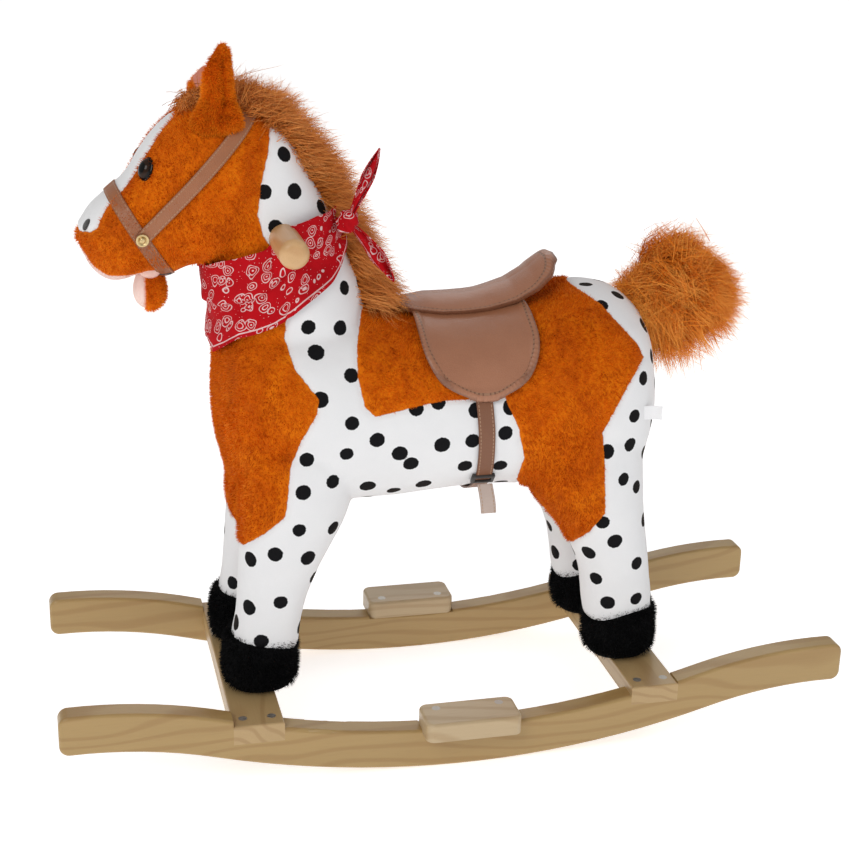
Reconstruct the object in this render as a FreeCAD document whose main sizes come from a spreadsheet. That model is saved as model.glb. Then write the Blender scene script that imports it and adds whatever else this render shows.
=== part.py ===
"""Plush rocking horse on a pine rocker base.

Frame: the horse faces -X, its left side faces -Y, +Z is up, and the origin is on the floor under
the middle of the rockers.  All sizes are millimetres.
"""
import FreeCAD, Part
import Sketcher
import math
import os
import re

V = FreeCAD.Vector
Turn = FreeCAD.Rotation
doc = FreeCAD.newDocument("RockingHorse")
sheet = doc.addObject("Spreadsheet::Sheet", "Sizes")

SIZES = [
    # rockers: a long arc of pine board that flattens towards its rounded ends
    ("rocker_length", 740), ("rocker_height", 38), ("rocker_thick", 22), ("rocker_inner", 108),
    ("rocker_radius", 863), ("tip_start", 235), ("tip_radius", 433), ("tip_round", 9), ("edge_round", 3),
    # crossbars let into the rockers, and the footrests screwed on them
    ("bar_front", -195), ("bar_rear", 180), ("bar_width", 46), ("bar_thick", 18), ("bar_top", 62),
    ("rest_length", 90), ("rest_depth", 42), ("rest_thick", 18), ("rest_let_in", 1), ("rest_round", 8),
    # wood screws and frame bolts
    ("screw_radius", 2), ("screw_head", 4), ("screw_sink", 3), ("screw_length", 32), ("screw_spread", 13),
    ("bolt_radius", 3),
    # where the horse stands: front and rear hoof centres, leg spacing and belly height
    ("shoulder", -183), ("hip", 169), ("leg_side", 50), ("belly", 230),
    # wooden frame inside the stuffing
    ("post_width", 24), ("post_depth", 22), ("front_post_back", 5), ("rear_post_ahead", 4),
    ("board_thick", 18), ("board_height", 50), ("board_rise", 60), ("spine_width", 60),
    ("neck_post_width", 46), ("neck_post_depth", 28), ("neck_post_rise", 300),
    # holding handle through the neck
    ("handle_radius", 13), ("handle_reach", 112), ("handle_rise", 255), ("handle_setback", 25),
    ("handle_gap", 0.3), ("handle_round", 7),
    # hooves, eyes and ears
    ("hoof_height", 48), ("eye_rise", 314), ("eye_side", 36), ("eye_ahead", 88), ("ear_side", 36),
    ("ear_tilt", 62),
    # saddle, straps and neckerchief
    ("flap_thick", 4), ("flap_radius", 55), ("flap_rise", 170), ("flap_middle", 9), ("girth_middle", 18),
    ("strap_width", 13), ("strap_thick", 2.5), ("girth_width", 15), ("scarf_thick", 5), ("rivet_radius", 5),
    # jaw: a stuffed flap on a plastic arm that turns on a pin under the head
    ("jaw_ahead", 86), ("jaw_rise", 224), ("jaw_recess", 15), ("jaw_hub", 6), ("jaw_hub_half", 10.5),
    ("arm_thick", 4), ("pin_radius", 2), ("pin_gap", 0.1), ("side_gap", 0.5), ("lug_thick", 4),
    # tail: a hair ball on a plastic arm that turns on an upright pin in the rump
    ("tail_behind", 5), ("tail_rise", 162), ("tail_hub", 8), ("tail_reach", 68), ("tail_hub_half", 9.5),
    # ear switch, sound unit and batteries
    ("switch_rise", 384), ("switch_radius", 6), ("switch_depth", 8), ("button_radius", 4),
    ("button_length", 6), ("button_travel", 1.5), ("button_gap", 0.2), ("skin_gap", 0.6),
    ("speaker_radius", 22), ("speaker_depth", 18), ("cell_radius", 7.25), ("cell_length", 50.5),
    ("box_wall", 2), ("box_play", 1), ("cell_middle", -40), ("box_rise", 5), ("cover_thick", 2.5),
]
for row, (alias, value) in enumerate(SIZES, start=1):
    sheet.set("A%d" % row, str(value))
    sheet.setAlias("A%d" % row, alias)
doc.recompute()

size = {alias: float(sheet.get(alias)) for alias, value in SIZES}
SIDES = (("left", -1), ("right", 1))
SUBPARTS = []


def front(offset):
    """X of a place measured back from the front hooves."""
    return size["shoulder"] + offset


def rear(offset):
    """X of a place measured back from the rear hooves."""
    return size["hip"] + offset


def up(offset):
    """Z of a place measured up from the belly."""
    return size["belly"] + offset


def bind(obj, **sums):
    """Tie each property to a sum of sizes; place_x, place_y and place_z are the position."""
    paths = {"place_x": "Placement.Base.x", "place_y": "Placement.Base.y", "place_z": "Placement.Base.z"}
    for name, text in sums.items():
        obj.setExpression(paths.get(name, name), re.sub(r"[a-z][a-z_]+", r"Sizes.\g<0>", text))
    return obj


def add(kind, label):
    """A new document object whose name and label are the same."""
    obj = doc.addObject(kind, label)
    obj.Label = label
    return obj


def block(label, x, y, z, length, width, height):
    """A box from its lowest corner and its three sides, each a sum of sizes."""
    box = add("Part::Box", label)
    return bind(box, place_x=x, place_y=y, place_z=z, Length=length, Width=width, Height=height)


ALONG = {"x": Turn(V(0, 1, 0), 90), "y": Turn(V(1, 0, 0), -90), "z": Turn()}


def rod(label, axis, x, y, z, radius, length):
    """A round rod that starts at a point and runs along +axis."""
    cylinder = add("Part::Cylinder", label)
    cylinder.Placement = FreeCAD.Placement(V(), ALONG[axis])
    return bind(cylinder, place_x=x, place_y=y, place_z=z, Radius=radius, Height=length)


def taper(label, x, y, z, top_radius, bottom_radius, height):
    """An upright cone from its lower end."""
    cone = add("Part::Cone", label)
    return bind(cone, place_x=x, place_y=y, place_z=z, Radius1=bottom_radius, Radius2=top_radius, Height=height)


def together(label, pieces):
    """Several solids that touch, joined into one."""
    fusion = add("Part::MultiFuse", label)
    fusion.Shapes, fusion.Refine = pieces, False
    return fusion


def group(label, pieces):
    """Several separate solids kept in one sub-part."""
    compound = add("Part::Compound", label)
    compound.Links = pieces
    return compound


def ready(obj):
    """The object, its shape worked out."""
    if obj.Shape.isNull():
        obj.recompute(True)
    return obj


def cut(label, base, *tools):
    """A piece with the space of its neighbours taken out of it, one neighbour after another."""
    box = ready(base).Shape.BoundBox
    near = [tool for tool in tools if box.intersect(ready(tool).Shape.BoundBox)]
    result = base
    for tool in near:
        step = add("Part::Cut", label if tool is near[-1] else label + "_cut")
        step.Base, step.Tool, step.Refine = result, tool, False
        result = ready(step)
    return result


def within(label, base, limit):
    """The part of a piece that lies inside another form."""
    result = add("Part::Common", label)
    result.Base, result.Tool, result.Refine = base, limit, False
    return result


def shaped(label, shape):
    """A free form as a document object."""
    feature = add("Part::Feature", label)
    feature.Shape = shape
    return feature


def subpart(label, obj):
    """Name a finished piece and list it for export."""
    obj.Label = label
    SUBPARTS.append(obj)
    return obj


RING_POINTS = 16
RING_POWER = 2.3


def ring(axis, along, low, high, half, middle=0.0, grow=0.0):
    """A closed rounded section: across X (low and high are Z) or across Z (low and high are X)."""
    points = []
    for step in range(RING_POINTS):
        angle = 2 * math.pi * step / RING_POINTS
        across, side = math.cos(angle), math.sin(angle)
        across = math.copysign(abs(across) ** (2 / RING_POWER), across)
        side = math.copysign(abs(side) ** (2 / RING_POWER), side)
        level = (low + high) / 2 + across * ((high - low) / 2 + grow)
        aside = middle + side * (half + grow)
        points.append(V(along, aside, level) if axis == "x" else V(level, aside, along))
    curve = Part.BSplineCurve()
    curve.interpolate(Points=points, PeriodicFlag=True)
    return Part.Wire([curve.toShape()])


def stuffed(label, axis, rings, middle=0.0, grow=0.0):
    """A stuffed form through its rings; grow makes the same form that much fatter all round."""
    wires = []
    for index, (along, low, high, half) in enumerate(rings):
        end = -grow if index == 0 else grow if index == len(rings) - 1 else 0
        wires.append(ring(axis, along + end, low, high, half, middle, grow))
    return shaped(label, Part.makeLoft(wires, True, False))


def plate(label, corners, low_y, high_y):
    """A flat plate: an outline of X, Z corners carried from one Y to another."""
    loop = [V(x, low_y, z) for x, z in corners]
    face = Part.Face(Part.makePolygon(loop + loop[:1]))
    return shaped(label, face.extrude(V(0, high_y - low_y, 0)))


# ---------------------------------------------------------------- rockers


def origin_plane(body, role):
    """One of a body's own origin planes."""
    return next(item for item in body.Origin.OriginFeatures if item.Role == role)


def new_sketch(body, label, role):
    """An empty sketch on one of a body's own origin planes."""
    sketch = body.newObject("Sketcher::SketchObject", label)
    sketch.AttachmentSupport = (origin_plane(body, role), [""])
    sketch.MapMode = "FlatFace"
    return sketch


def rule(sketch, *values, name=None, text=None):
    """Add a sketch constraint; a named one follows a sum of sizes."""
    index = sketch.addConstraint(Sketcher.Constraint(*values))
    if name:
        sketch.renameConstraint(index, name)
        bind(sketch, **{"Constraints." + name: text})


def edges_where(shape, wanted):
    """Names of the edges that a test picks."""
    return ["Edge%d" % (n + 1) for n, edge in enumerate(shape.Edges) if wanted(edge)]


def padded(body, sketch, label, thickness):
    """Pad a sketch equally to both sides of its plane."""
    pad = body.newObject("PartDesign::Pad", label)
    pad.Profile = sketch
    pad.SideType = "Symmetric"
    bind(pad, Length=thickness)
    doc.recompute()
    return pad


def rounded(body, base, label, wanted, radius):
    """Round the edges of a body's last feature that a test picks."""
    fillet = body.newObject("PartDesign::Fillet", label)
    fillet.Base = (base, edges_where(base.Shape, wanted))
    bind(fillet, Radius=radius)
    doc.recompute()
    return fillet


def rocker_outline(body, label):
    """Two concentric main arcs, each running smoothly into an upturned arc at both ends."""
    sketch = new_sketch(body, label, "XZ_Plane")
    half, height = size["rocker_length"] / 2, size["rocker_height"]
    main, tip = size["rocker_radius"], size["tip_radius"]
    lean = math.asin(size["tip_start"] / main)
    tip_x, tip_z = (main + tip) * math.sin(lean), main - (main + tip) * math.cos(lean)
    top, bottom = math.pi / 2, -math.pi / 2

    def arc(x, z, radius, first, last):
        circle = Part.Circle(V(x, z, 0), V(0, 0, 1), radius)
        return sketch.addGeometry(Part.ArcOfCircle(circle, first, last), False)

    arcs = []
    for inner, outer in ((main, tip), (main - height, tip + height)):
        end_lean = math.asin((tip_x - half) / outer)
        arcs.append((
            arc(0, main, inner, bottom - lean, bottom + lean),
            arc(tip_x, tip_z, outer, top + end_lean, top + lean),
            arc(-tip_x, tip_z, outer, top - lean, top - end_lean),
            tip_z + outer * math.cos(end_lean)))
    (low, low_right, low_left, low_z), (high, high_right, high_left, high_z) = arcs
    right = sketch.addGeometry(Part.LineSegment(V(half, low_z, 0), V(half, high_z, 0)), False)
    left = sketch.addGeometry(Part.LineSegment(V(-half, low_z, 0), V(-half, high_z, 0)), False)
    for middle, right_arc, left_arc, end_z in arcs:
        rule(sketch, "Tangent", middle, 2, right_arc, 2)
        rule(sketch, "Tangent", middle, 1, left_arc, 1)
    for first, second in ((low, high), (low_right, high_right), (low_left, high_left)):
        rule(sketch, "Coincident", first, 3, second, 3)
    for edge, low_arc, high_arc, end in ((right, low_right, high_right, 1), (left, low_left, high_left, 2)):
        rule(sketch, "Coincident", edge, 1, low_arc, end)
        rule(sketch, "Coincident", edge, 2, high_arc, end)
        rule(sketch, "Vertical", edge)
    rule(sketch, "PointOnObject", low, 3, -2)
    start = size["tip_start"]
    rule(sketch, "Radius", low, main, name="main", text="rocker_radius")
    rule(sketch, "DistanceY", -1, 1, low, 3, main, name="centre", text="rocker_radius")
    rule(sketch, "Radius", high, main - height, name="inner", text="rocker_radius - rocker_height")
    rule(sketch, "Radius", low_right, tip, name="tip_right", text="tip_radius")
    rule(sketch, "Radius", low_left, tip, name="tip_left", text="tip_radius")
    rule(sketch, "DistanceX", -1, 1, low, 2, start, name="join_right", text="tip_start")
    rule(sketch, "DistanceX", low, 1, -1, 1, start, name="join_left", text="tip_start")
    rule(sketch, "DistanceX", -1, 1, right, 1, half, name="end_right", text="rocker_length / 2")
    rule(sketch, "DistanceX", left, 1, -1, 1, half, name="end_left", text="rocker_length / 2")
    return sketch


def rocker_board(label, side):
    """The sawn board with rounded ends and eased edges, before the seats are cut in it."""
    body = add("PartDesign::Body", label)
    half, face = size["rocker_length"] / 2, size["rocker_thick"] / 2
    board = padded(body, rocker_outline(body, label + "_outline"), label + "_pad", "rocker_thick")

    def at_end(edge):
        return all(abs(abs(vertex.X) - half) < 0.01 for vertex in edge.Vertexes) and \
            abs(edge.Vertexes[0].Y - edge.Vertexes[-1].Y) > face

    def on_face(edge):
        middle = edge.valueAt((edge.FirstParameter + edge.LastParameter) / 2)
        return abs(abs(middle.y) - face) < 0.01 and \
            abs(edge.Vertexes[0].Y - edge.Vertexes[-1].Y) < 0.01

    ends = rounded(body, board, label + "_ends", at_end, "tip_round")
    rounded(body, ends, label + "_edges", on_face, "edge_round")
    return bind(body, place_y="%s(rocker_inner + rocker_thick / 2)" % ("-" if side < 0 else ""))


# ---------------------------------------------------------------- crossbars, footrests and screws


def planed_board(label, length, width, thick, corner, eased):
    """A planed block centred on X and Y that stands on its own Z = 0."""
    body = add("PartDesign::Body", label)
    sketch = new_sketch(body, label + "_outline", "XY_Plane")
    half_x, half_y = 40, 20
    corners = [V(-half_x, -half_y, 0), V(half_x, -half_y, 0), V(half_x, half_y, 0), V(-half_x, half_y, 0)]
    for n in range(4):
        sketch.addGeometry(Part.LineSegment(corners[n], corners[(n + 1) % 4]), False)
    for n in range(4):
        rule(sketch, "Coincident", n, 2, (n + 1) % 4, 1)
        rule(sketch, "Vertical" if n % 2 else "Horizontal", n)
    rule(sketch, "Symmetric", 0, 1, 1, 2, -1, 1)
    rule(sketch, "DistanceX", 0, 1, 0, 2, 2 * half_x, name="long", text=length)
    rule(sketch, "DistanceY", 1, 1, 1, 2, 2 * half_y, name="wide", text=width)
    pad = body.newObject("PartDesign::Pad", label + "_pad")
    pad.Profile = sketch
    bind(pad, Length=thick)
    doc.recompute()
    if corner:
        pad = rounded(body, pad, label + "_corners", lambda edge: edge.BoundBox.ZLength > 1, corner)
    highest = pad.Shape.BoundBox.ZMax
    rounded(body, pad, label + "_edges", lambda edge: edge.BoundBox.ZMin > highest - 0.01, eased)
    return body


def wood_screw(label, x, y, z):
    """A countersunk wood screw driven down, its head flush at height z."""
    sink = taper(label + "_head", x, y, "%s - screw_sink" % z, "screw_head", "screw_radius", "screw_sink")
    shank = rod(label + "_shank", "z", x, y, "%s - screw_length" % z, "screw_radius",
                "screw_length - screw_sink")
    return together(label, [sink, shank])


def make_base():
    """Rockers, crossbars, footrests and the screws that hold them."""
    span = "(2 * rocker_inner + 2 * rocker_thick)"
    bars, bar_screws, rests, rest_screws = {}, [], {}, []
    for end in ("front", "rear"):
        bar = planed_board(end + "_bar_board", "bar_width", span, "bar_thick", None, "edge_round / 2")
        bars[end] = bind(bar, place_x="bar_" + end, place_z="bar_top - bar_thick")
        for side, way in (("left", "-"), ("right", "")):
            for n, offset in enumerate(("- screw_spread", "+ screw_spread")):
                bar_screws.append(wood_screw(
                    "%s_%s_screw_%d" % (end, side, n), "bar_%s %s" % (end, offset),
                    "%s(rocker_inner + rocker_thick / 3)" % way, "bar_top"))
    for side, way in (("left", "-"), ("right", "")):
        rest = planed_board(side + "_rest_board", "rest_length", "rest_depth", "rest_thick", "rest_round",
                            "edge_round")
        rests[side] = bind(rest, place_y="%s(rocker_inner + rest_depth / 2)" % way,
                           place_z="rocker_height - rest_let_in")
        for n, offset in enumerate(("-", "")):
            rest_screws.append(wood_screw(
                "%s_rest_screw_%d" % (side, n), "%srest_length / 3" % offset,
                "%s(rocker_inner + rocker_thick / 2)" % way,
                "(rocker_height - rest_let_in + rest_thick)"))
    all_bar_screws = group("crossbar_screws", bar_screws)
    all_rest_screws = group("footrest_screws", rest_screws)
    notches = [block(end + "_notch", "bar_%s - bar_width / 2" % end, "-%s / 2 - bar_width" % span,
                     "bar_top - bar_thick", "bar_width", "%s + 2 * bar_width" % span, "rocker_height")
               for end in ("front", "rear")]
    notches.append(block("rest_seat", "-rest_length / 2", "-%s / 2 - bar_width" % span,
                         "rocker_height - rest_let_in", "rest_length", "%s + 2 * bar_width" % span,
                         "rocker_height"))
    for side, way in SIDES:
        board = rocker_board(side + "_rocker_board", way)
        subpart("rocker_" + side, cut("rocker_" + side, board, *notches, all_bar_screws, all_rest_screws))
        subpart("footrest_" + side, cut("footrest_" + side, rests[side], all_rest_screws))
    leg_screws = []
    for side, way in (("left", "-"), ("right", "")):
        for end, x in (("front", POST_X["front"]), ("rear", POST_X["rear"])):
            leg_screws.append(rod("%s_%s_leg_screw" % (end, side), "z", x, way + "leg_side",
                                  "bar_top - bar_thick", "bolt_radius", "bar_thick + 2 * screw_length"))
    legs = subpart("leg_screws", group("leg_screws", leg_screws))
    subpart("front_crossbar", cut("front_crossbar", bars["front"], all_bar_screws, legs))
    subpart("rear_crossbar", cut("rear_crossbar", bars["rear"], all_bar_screws, legs))
    subpart("crossbar_screws", all_bar_screws)
    subpart("footrest_screws", all_rest_screws)
    return legs


# ---------------------------------------------------------------- wooden frame and handle

POST_X = {"front": "(shoulder + front_post_back)", "rear": "(hip - rear_post_ahead)"}
FRAME_TOP = "(belly + board_rise + board_height)"


def make_frame(leg_screws):
    """Four posts, two cross boards, the spine plank and the neck post, bolted together."""
    handle = rod("handle_rod", "y", "shoulder + handle_setback", "-handle_reach",
                 "belly + handle_rise", "handle_radius", "2 * handle_reach")
    doc.recompute()
    knobs = add("Part::Fillet", "handle_knobs")
    knobs.Base = handle
    knobs.Edges = [(n + 1, size["handle_round"], size["handle_round"])
                   for n, edge in enumerate(handle.Shape.Edges) if edge.Closed]
    subpart("handle_dowel", knobs)
    hole = rod("handle_hole", "y", "shoulder + handle_setback", "-neck_post_depth",
               "belly + handle_rise", "handle_radius + handle_gap", "2 * neck_post_depth")

    bolts = []
    posts = {}
    for side, way in (("left", "-"), ("right", "")):
        for end in ("front", "rear"):
            x, y = POST_X[end], "%sleg_side" % way
            posts[end, side] = block(
                "%s_%s_post" % (end, side), "%s - post_width / 2" % x, "%s - post_depth / 2" % y, "bar_top",
                "post_width", "post_depth", "%s - bar_top" % FRAME_TOP)
            start = "%s - post_width / 2" % x if end == "front" else "%s - post_width / 2 - board_thick" % x
            bolts.append(rod("%s_%s_bolt" % (end, side), "x", start, y, "%s - board_height / 2" % FRAME_TOP,
                             "bolt_radius", "post_width + board_thick"))
    edge_y = "(leg_side + post_depth / 2)"
    boards = {
        "shoulder": block("shoulder_plank", "%s + post_width / 2" % POST_X["front"], "-" + edge_y,
                          "belly + board_rise", "board_thick", "2 * " + edge_y, "board_height"),
        "hip": block("hip_plank", "%s - post_width / 2 - board_thick" % POST_X["rear"], "-" + edge_y,
                     "belly + board_rise", "board_thick", "2 * " + edge_y, "board_height"),
    }
    spine = block("spine_board", "%s - post_width / 2" % POST_X["front"], "-spine_width / 2", FRAME_TOP,
                  "%s - %s" % (POST_X["rear"], POST_X["front"]), "spine_width", "board_thick")
    neck = block("neck_board", "shoulder + handle_setback - neck_post_width / 2", "-neck_post_depth / 2",
                 FRAME_TOP + " + board_thick", "neck_post_width", "neck_post_depth",
                 "neck_post_rise - board_rise - board_height - board_thick")
    for n, x in enumerate((POST_X["front"] + " + post_width / 2 + board_thick / 2",
                           POST_X["rear"] + " - post_width / 2 - board_thick / 2")):
        for way in ("-", ""):
            bolts.append(rod("spine_screw_%d%s" % (n, "_left" if way else "_right"), "z", x,
                             way + "spine_width / 3", FRAME_TOP + " + board_thick - screw_length",
                             "screw_radius", "screw_length"))
    for way in ("-", ""):
        bolts.append(rod("neck_screw" + ("_front" if way else "_back"), "z",
                         "shoulder + handle_setback %s neck_post_width / 4" % (way or "+"), "0", FRAME_TOP,
                         "screw_radius", "board_thick + screw_length"))
    all_bolts = subpart("frame_bolts", group("frame_bolts", bolts))
    pieces = []
    for (end, side), post in posts.items():
        name = "%s_leg_post_%s" % (end, side)
        pieces.append(subpart(name, cut(name, post, leg_screws, all_bolts)))
    for name, plank in boards.items():
        pieces.append(subpart(name + "_board", cut(name + "_board", plank, all_bolts)))
    pieces.append(subpart("spine_plank", cut("spine_plank", spine, all_bolts)))
    pieces.append(subpart("neck_post", cut("neck_post", neck, all_bolts, hole)))
    return posts, boards, spine, neck, all_bolts, handle


# ---------------------------------------------------------------- jaw, tail, ear switch and batteries

JAW_X, JAW_Z = "(shoulder - jaw_ahead)", "(belly + jaw_rise)"
TAIL_X, TAIL_Z = "(hip + tail_behind)", "(belly + tail_rise)"


def make_jaw_drive():
    """Gear motor with two lugs and a pin, carried on a bracket from the neck post; and the jaw's arm."""
    lug_y = "(jaw_hub_half + side_gap)"
    pin = rod("jaw_pin", "y", JAW_X, "-%s - lug_thick" % lug_y, JAW_Z, "pin_radius",
              "2 * %s + 2 * lug_thick" % lug_y)
    case = block("jaw_motor_case", JAW_X + " + 17", "-18", JAW_Z + " + 9", "46", "36", "29")
    lugs = []
    for name, y in (("left", "-%s - lug_thick" % lug_y), ("right", lug_y)):
        lugs.append(block("jaw_lug_" + name, JAW_X + " - jaw_hub", y, JAW_Z + " - jaw_hub",
                          "jaw_hub + 18", "lug_thick", "2 * jaw_hub + 6"))
    motor_form = together("jaw_motor_form", [case] + lugs)
    motor = subpart("jaw_motor", cut("jaw_motor", motor_form, pin))
    subpart("jaw_pin", pin)
    bracket = block("head_bracket_bar", JAW_X + " + 63", "-neck_post_depth / 4", JAW_Z + " + 14",
                    "shoulder + handle_setback - neck_post_width / 2 - %s - 63" % JAW_X,
                    "neck_post_depth / 2", "20")
    subpart("head_bracket", bracket)
    hub = rod("jaw_arm_hub", "y", JAW_X, "-jaw_hub_half", JAW_Z, "jaw_hub", "2 * jaw_hub_half")
    blade = block("jaw_arm_blade", JAW_X + " - arm_thick / 2", "-jaw_hub_half + 2", JAW_Z + " - 34",
                  "arm_thick", "2 * jaw_hub_half - 4", "34")
    bore = rod("jaw_arm_bore", "y", JAW_X, "-jaw_hub_half - 1", JAW_Z, "pin_radius + pin_gap",
               "2 * jaw_hub_half + 2")
    arm = subpart("jaw_arm", cut("jaw_arm", together("jaw_arm_form", [hub, blade]), bore))
    jaw_x, jaw_z = front(-size["jaw_ahead"]), up(size["jaw_rise"])
    pad = stuffed("jaw_pad_form", "z", [
        (jaw_z - 9, jaw_x - 9, jaw_x + 9, 17), (jaw_z - 18, jaw_x - 12, jaw_x + 12, 20),
        (jaw_z - 29, jaw_x - 14, jaw_x + 13, 21), (jaw_z - 38, jaw_x - 12, jaw_x + 11, 17),
        (jaw_z - 41, jaw_x - 6, jaw_x + 6, 10)])
    subpart("jaw_pad", cut("jaw_pad", pad, arm))
    mouth = rod("mouth_recess", "y", JAW_X, "-%s - lug_thick - side_gap" % lug_y, JAW_Z, "jaw_recess",
                "2 * %s + 2 * lug_thick + 2 * side_gap" % lug_y)
    return [motor_form, pin, bracket, mouth]


def make_tail_drive():
    """Gear motor with a fork and an upright pin, and the tail's arm."""
    lug_low = TAIL_Z + " - tail_hub_half - side_gap - lug_thick"
    pin = rod("tail_pin", "z", TAIL_X, "0", lug_low, "pin_radius",
              "2 * tail_hub_half + 2 * side_gap + 2 * lug_thick")
    case = block("tail_motor_case", TAIL_X + " - 56", "-19", TAIL_Z + " - 20", "42", "38", "40")
    lugs = []
    for name, z in (("low", lug_low), ("high", TAIL_Z + " + tail_hub_half + side_gap")):
        lugs.append(block("tail_lug_" + name, TAIL_X + " - 15", "-tail_hub", z, "15 + tail_hub - 1",
                          "2 * tail_hub", "lug_thick"))
    motor_form = together("tail_motor_form", [case] + lugs)
    motor = subpart("tail_motor", cut("tail_motor", motor_form, pin))
    subpart("tail_pin", pin)
    hub = rod("tail_arm_hub", "z", TAIL_X, "0", TAIL_Z + " - tail_hub_half", "tail_hub", "2 * tail_hub_half")
    reach = block("tail_arm_bar", TAIL_X, "-arm_thick", TAIL_Z + " - 5", "tail_reach", "2 * arm_thick", "10")
    bore = rod("tail_arm_bore", "z", TAIL_X, "0", TAIL_Z + " - tail_hub_half - 1", "pin_radius + pin_gap",
               "2 * tail_hub_half + 2")
    arm = subpart("tail_arm", cut("tail_arm", together("tail_arm_form", [hub, reach]), bore))
    hair = stuffed("tail_hair_form", "x", [
        (rear(37), up(152), up(176), 12), (rear(51), up(138), up(201), 30), (rear(76), up(121), up(232), 45),
        (rear(101), up(114), up(243), 48), (rear(121), up(124), up(235), 38), (rear(135), up(158), up(206), 16)])
    subpart("tail_hair", cut("tail_hair", hair, arm))
    socket = together("tail_socket", [
        rod("tail_socket_round", "z", TAIL_X, "0", TAIL_Z + " - tail_hub_half - side_gap",
            "tail_hub + 2", "2 * tail_hub_half + 2 * side_gap"),
        block("tail_socket_slot", TAIL_X, "-18", TAIL_Z + " - tail_hub_half - side_gap", "45", "36",
              "2 * tail_hub_half + 2 * side_gap")])
    return [motor_form, pin, socket]


def make_ear_switch():
    """A press switch in the left ear, with a button that slides into its case."""
    x, z = "(shoulder - 26)", "(belly + switch_rise)"
    mouth_y = "-ear_side - 3"
    case = rod("ear_switch_body", "y", x, mouth_y, z, "switch_radius", "switch_depth")
    well = rod("ear_switch_well", "y", x, mouth_y, z, "button_radius + button_gap",
               "button_length / 2 + button_travel + side_gap")
    switch = subpart("ear_switch", cut("ear_switch", case, well))
    button = rod("ear_button", "y", x, "%s - button_length / 2" % mouth_y, z, "button_radius",
                 "button_length")
    subpart("ear_button", button)
    space = rod("ear_button_space", "y", x, "%s - button_length / 2 - side_gap" % mouth_y, z,
                "button_radius + skin_gap", "button_length / 2 + side_gap")
    return [case, space]


def make_power():
    """Battery box with its cover and cells in the belly, and the sound unit under the spine."""
    long = "(cell_length + 2 * box_play + 2 * box_wall)"
    wide = "(6 * cell_radius + 2 * box_play + 2 * box_wall)"
    cover_z = "belly + box_rise"
    low = cover_z + " + cover_thick"
    shell = block("battery_box_outside", "cell_middle - %s / 2" % long, "-%s / 2" % wide, low, long, wide,
                  "2 * cell_radius + box_play + box_wall")
    hollow = block("battery_box_inside", "cell_middle - %s / 2 + box_wall" % long,
                   "-%s / 2 + box_wall" % wide, low, long + " - 2 * box_wall", wide + " - 2 * box_wall",
                   "2 * cell_radius + box_play")
    subpart("battery_box", cut("battery_box", shell, hollow))
    cells = [rod("cell_%d" % n, "x", "cell_middle - cell_length / 2", "%d * 2 * cell_radius" % (n - 1),
                 low + " + cell_radius + box_play / 2", "cell_radius", "cell_length") for n in range(3)]
    for cell in cells:
        bind(cell, Radius="cell_radius - side_gap / 10")
    subpart("batteries", group("batteries", cells))
    cover = block("battery_cover", "cell_middle - %s / 2" % long, "-%s / 2" % wide, cover_z, long, wide,
                  "cover_thick")
    subpart("battery_cover", cover)
    speaker = rod("sound_unit", "z", "shoulder + 88", "0", "%s - speaker_depth" % FRAME_TOP,
                  "speaker_radius", "speaker_depth")
    subpart("sound_unit", speaker)
    return [shell, cover, speaker]


# ---------------------------------------------------------------- stuffed body, neck, head and ears


def torso_rings():
    """Body sections from chest to rump: X, underside, top, half width."""
    return [
        (front(-28), up(45), up(150), 45), (front(-20), up(22), up(170), 66), (front(3), up(6), up(185), 82),
        (front(53), up(-1), up(188), 90), (front(123), up(-1), up(172), 92), (front(183), up(-1), up(166), 93),
        (rear(-99), up(-2), up(178), 95), (rear(-49), up(-14), up(196), 98), (rear(-9), up(-15), up(191), 94),
        (rear(21), up(10), up(168), 76), (rear(34), up(45), up(135), 45)]


def neck_rings():
    """Neck sections from the withers to the poll: Z, front, back, half width."""
    return [
        (up(140), front(-27), front(105), 62), (up(190), front(-31), front(108), 60),
        (up(230), front(-33), front(90), 56), (up(265), front(-35), front(77), 52),
        (up(305), front(-37), front(58), 48), (up(332), front(-32), front(43), 40),
        (up(350), front(-20), front(24), 26)]


def head_rings():
    """Head sections from nose to poll: X, underside, top, half width."""
    return [
        (front(-147), up(240), up(264), 15), (front(-140), up(225), up(274), 27),
        (front(-125), up(218), up(288), 36), (front(-105), up(221), up(302), 41),
        (front(-81), up(226), up(338), 47), (front(-57), up(226), up(360), 53),
        (front(-29), up(224), up(369), 55), (front(-3), up(232), up(365), 51), (front(17), up(250), up(348), 38)]


def ear_rings():
    """Ear sections upwards: a gathered base, a narrow stem and a folded lobe."""
    return [
        (up(340), front(-44), front(-2), 12), (up(352), front(-42), front(-4), 11),
        (up(366), front(-37), front(-15), 9), (up(384), front(-36), front(-17), 8.5),
        (up(396), front(-37), front(-13), 9), (up(410), front(-34), front(-15), 7),
        (up(418), front(-28), front(-21), 3)]


def leg_rings(end):
    """Leg sections from hoof to thigh: Z, front, back, half width."""
    hoof = size["bar_top"] + size["hoof_height"]
    if end == "front":
        return [
            (hoof, front(-25), front(37), 27), (hoof + 20, front(-22), front(38), 29),
            (hoof + 55, front(-20), front(48), 31), (up(-25), front(-17), front(65), 35),
            (up(10), front(-17), front(85), 39), (up(60), front(-14), front(90), 41)]
    return [
        (hoof, rear(-36), rear(33), 28), (hoof + 20, rear(-39), rear(29), 29),
        (hoof + 50, rear(-44), rear(23), 32), (hoof + 85, rear(-59), rear(17), 36),
        (up(-5), rear(-84), rear(13), 42), (up(30), rear(-107), rear(11), 46), (up(70), rear(-109), rear(11), 48)]


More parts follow.
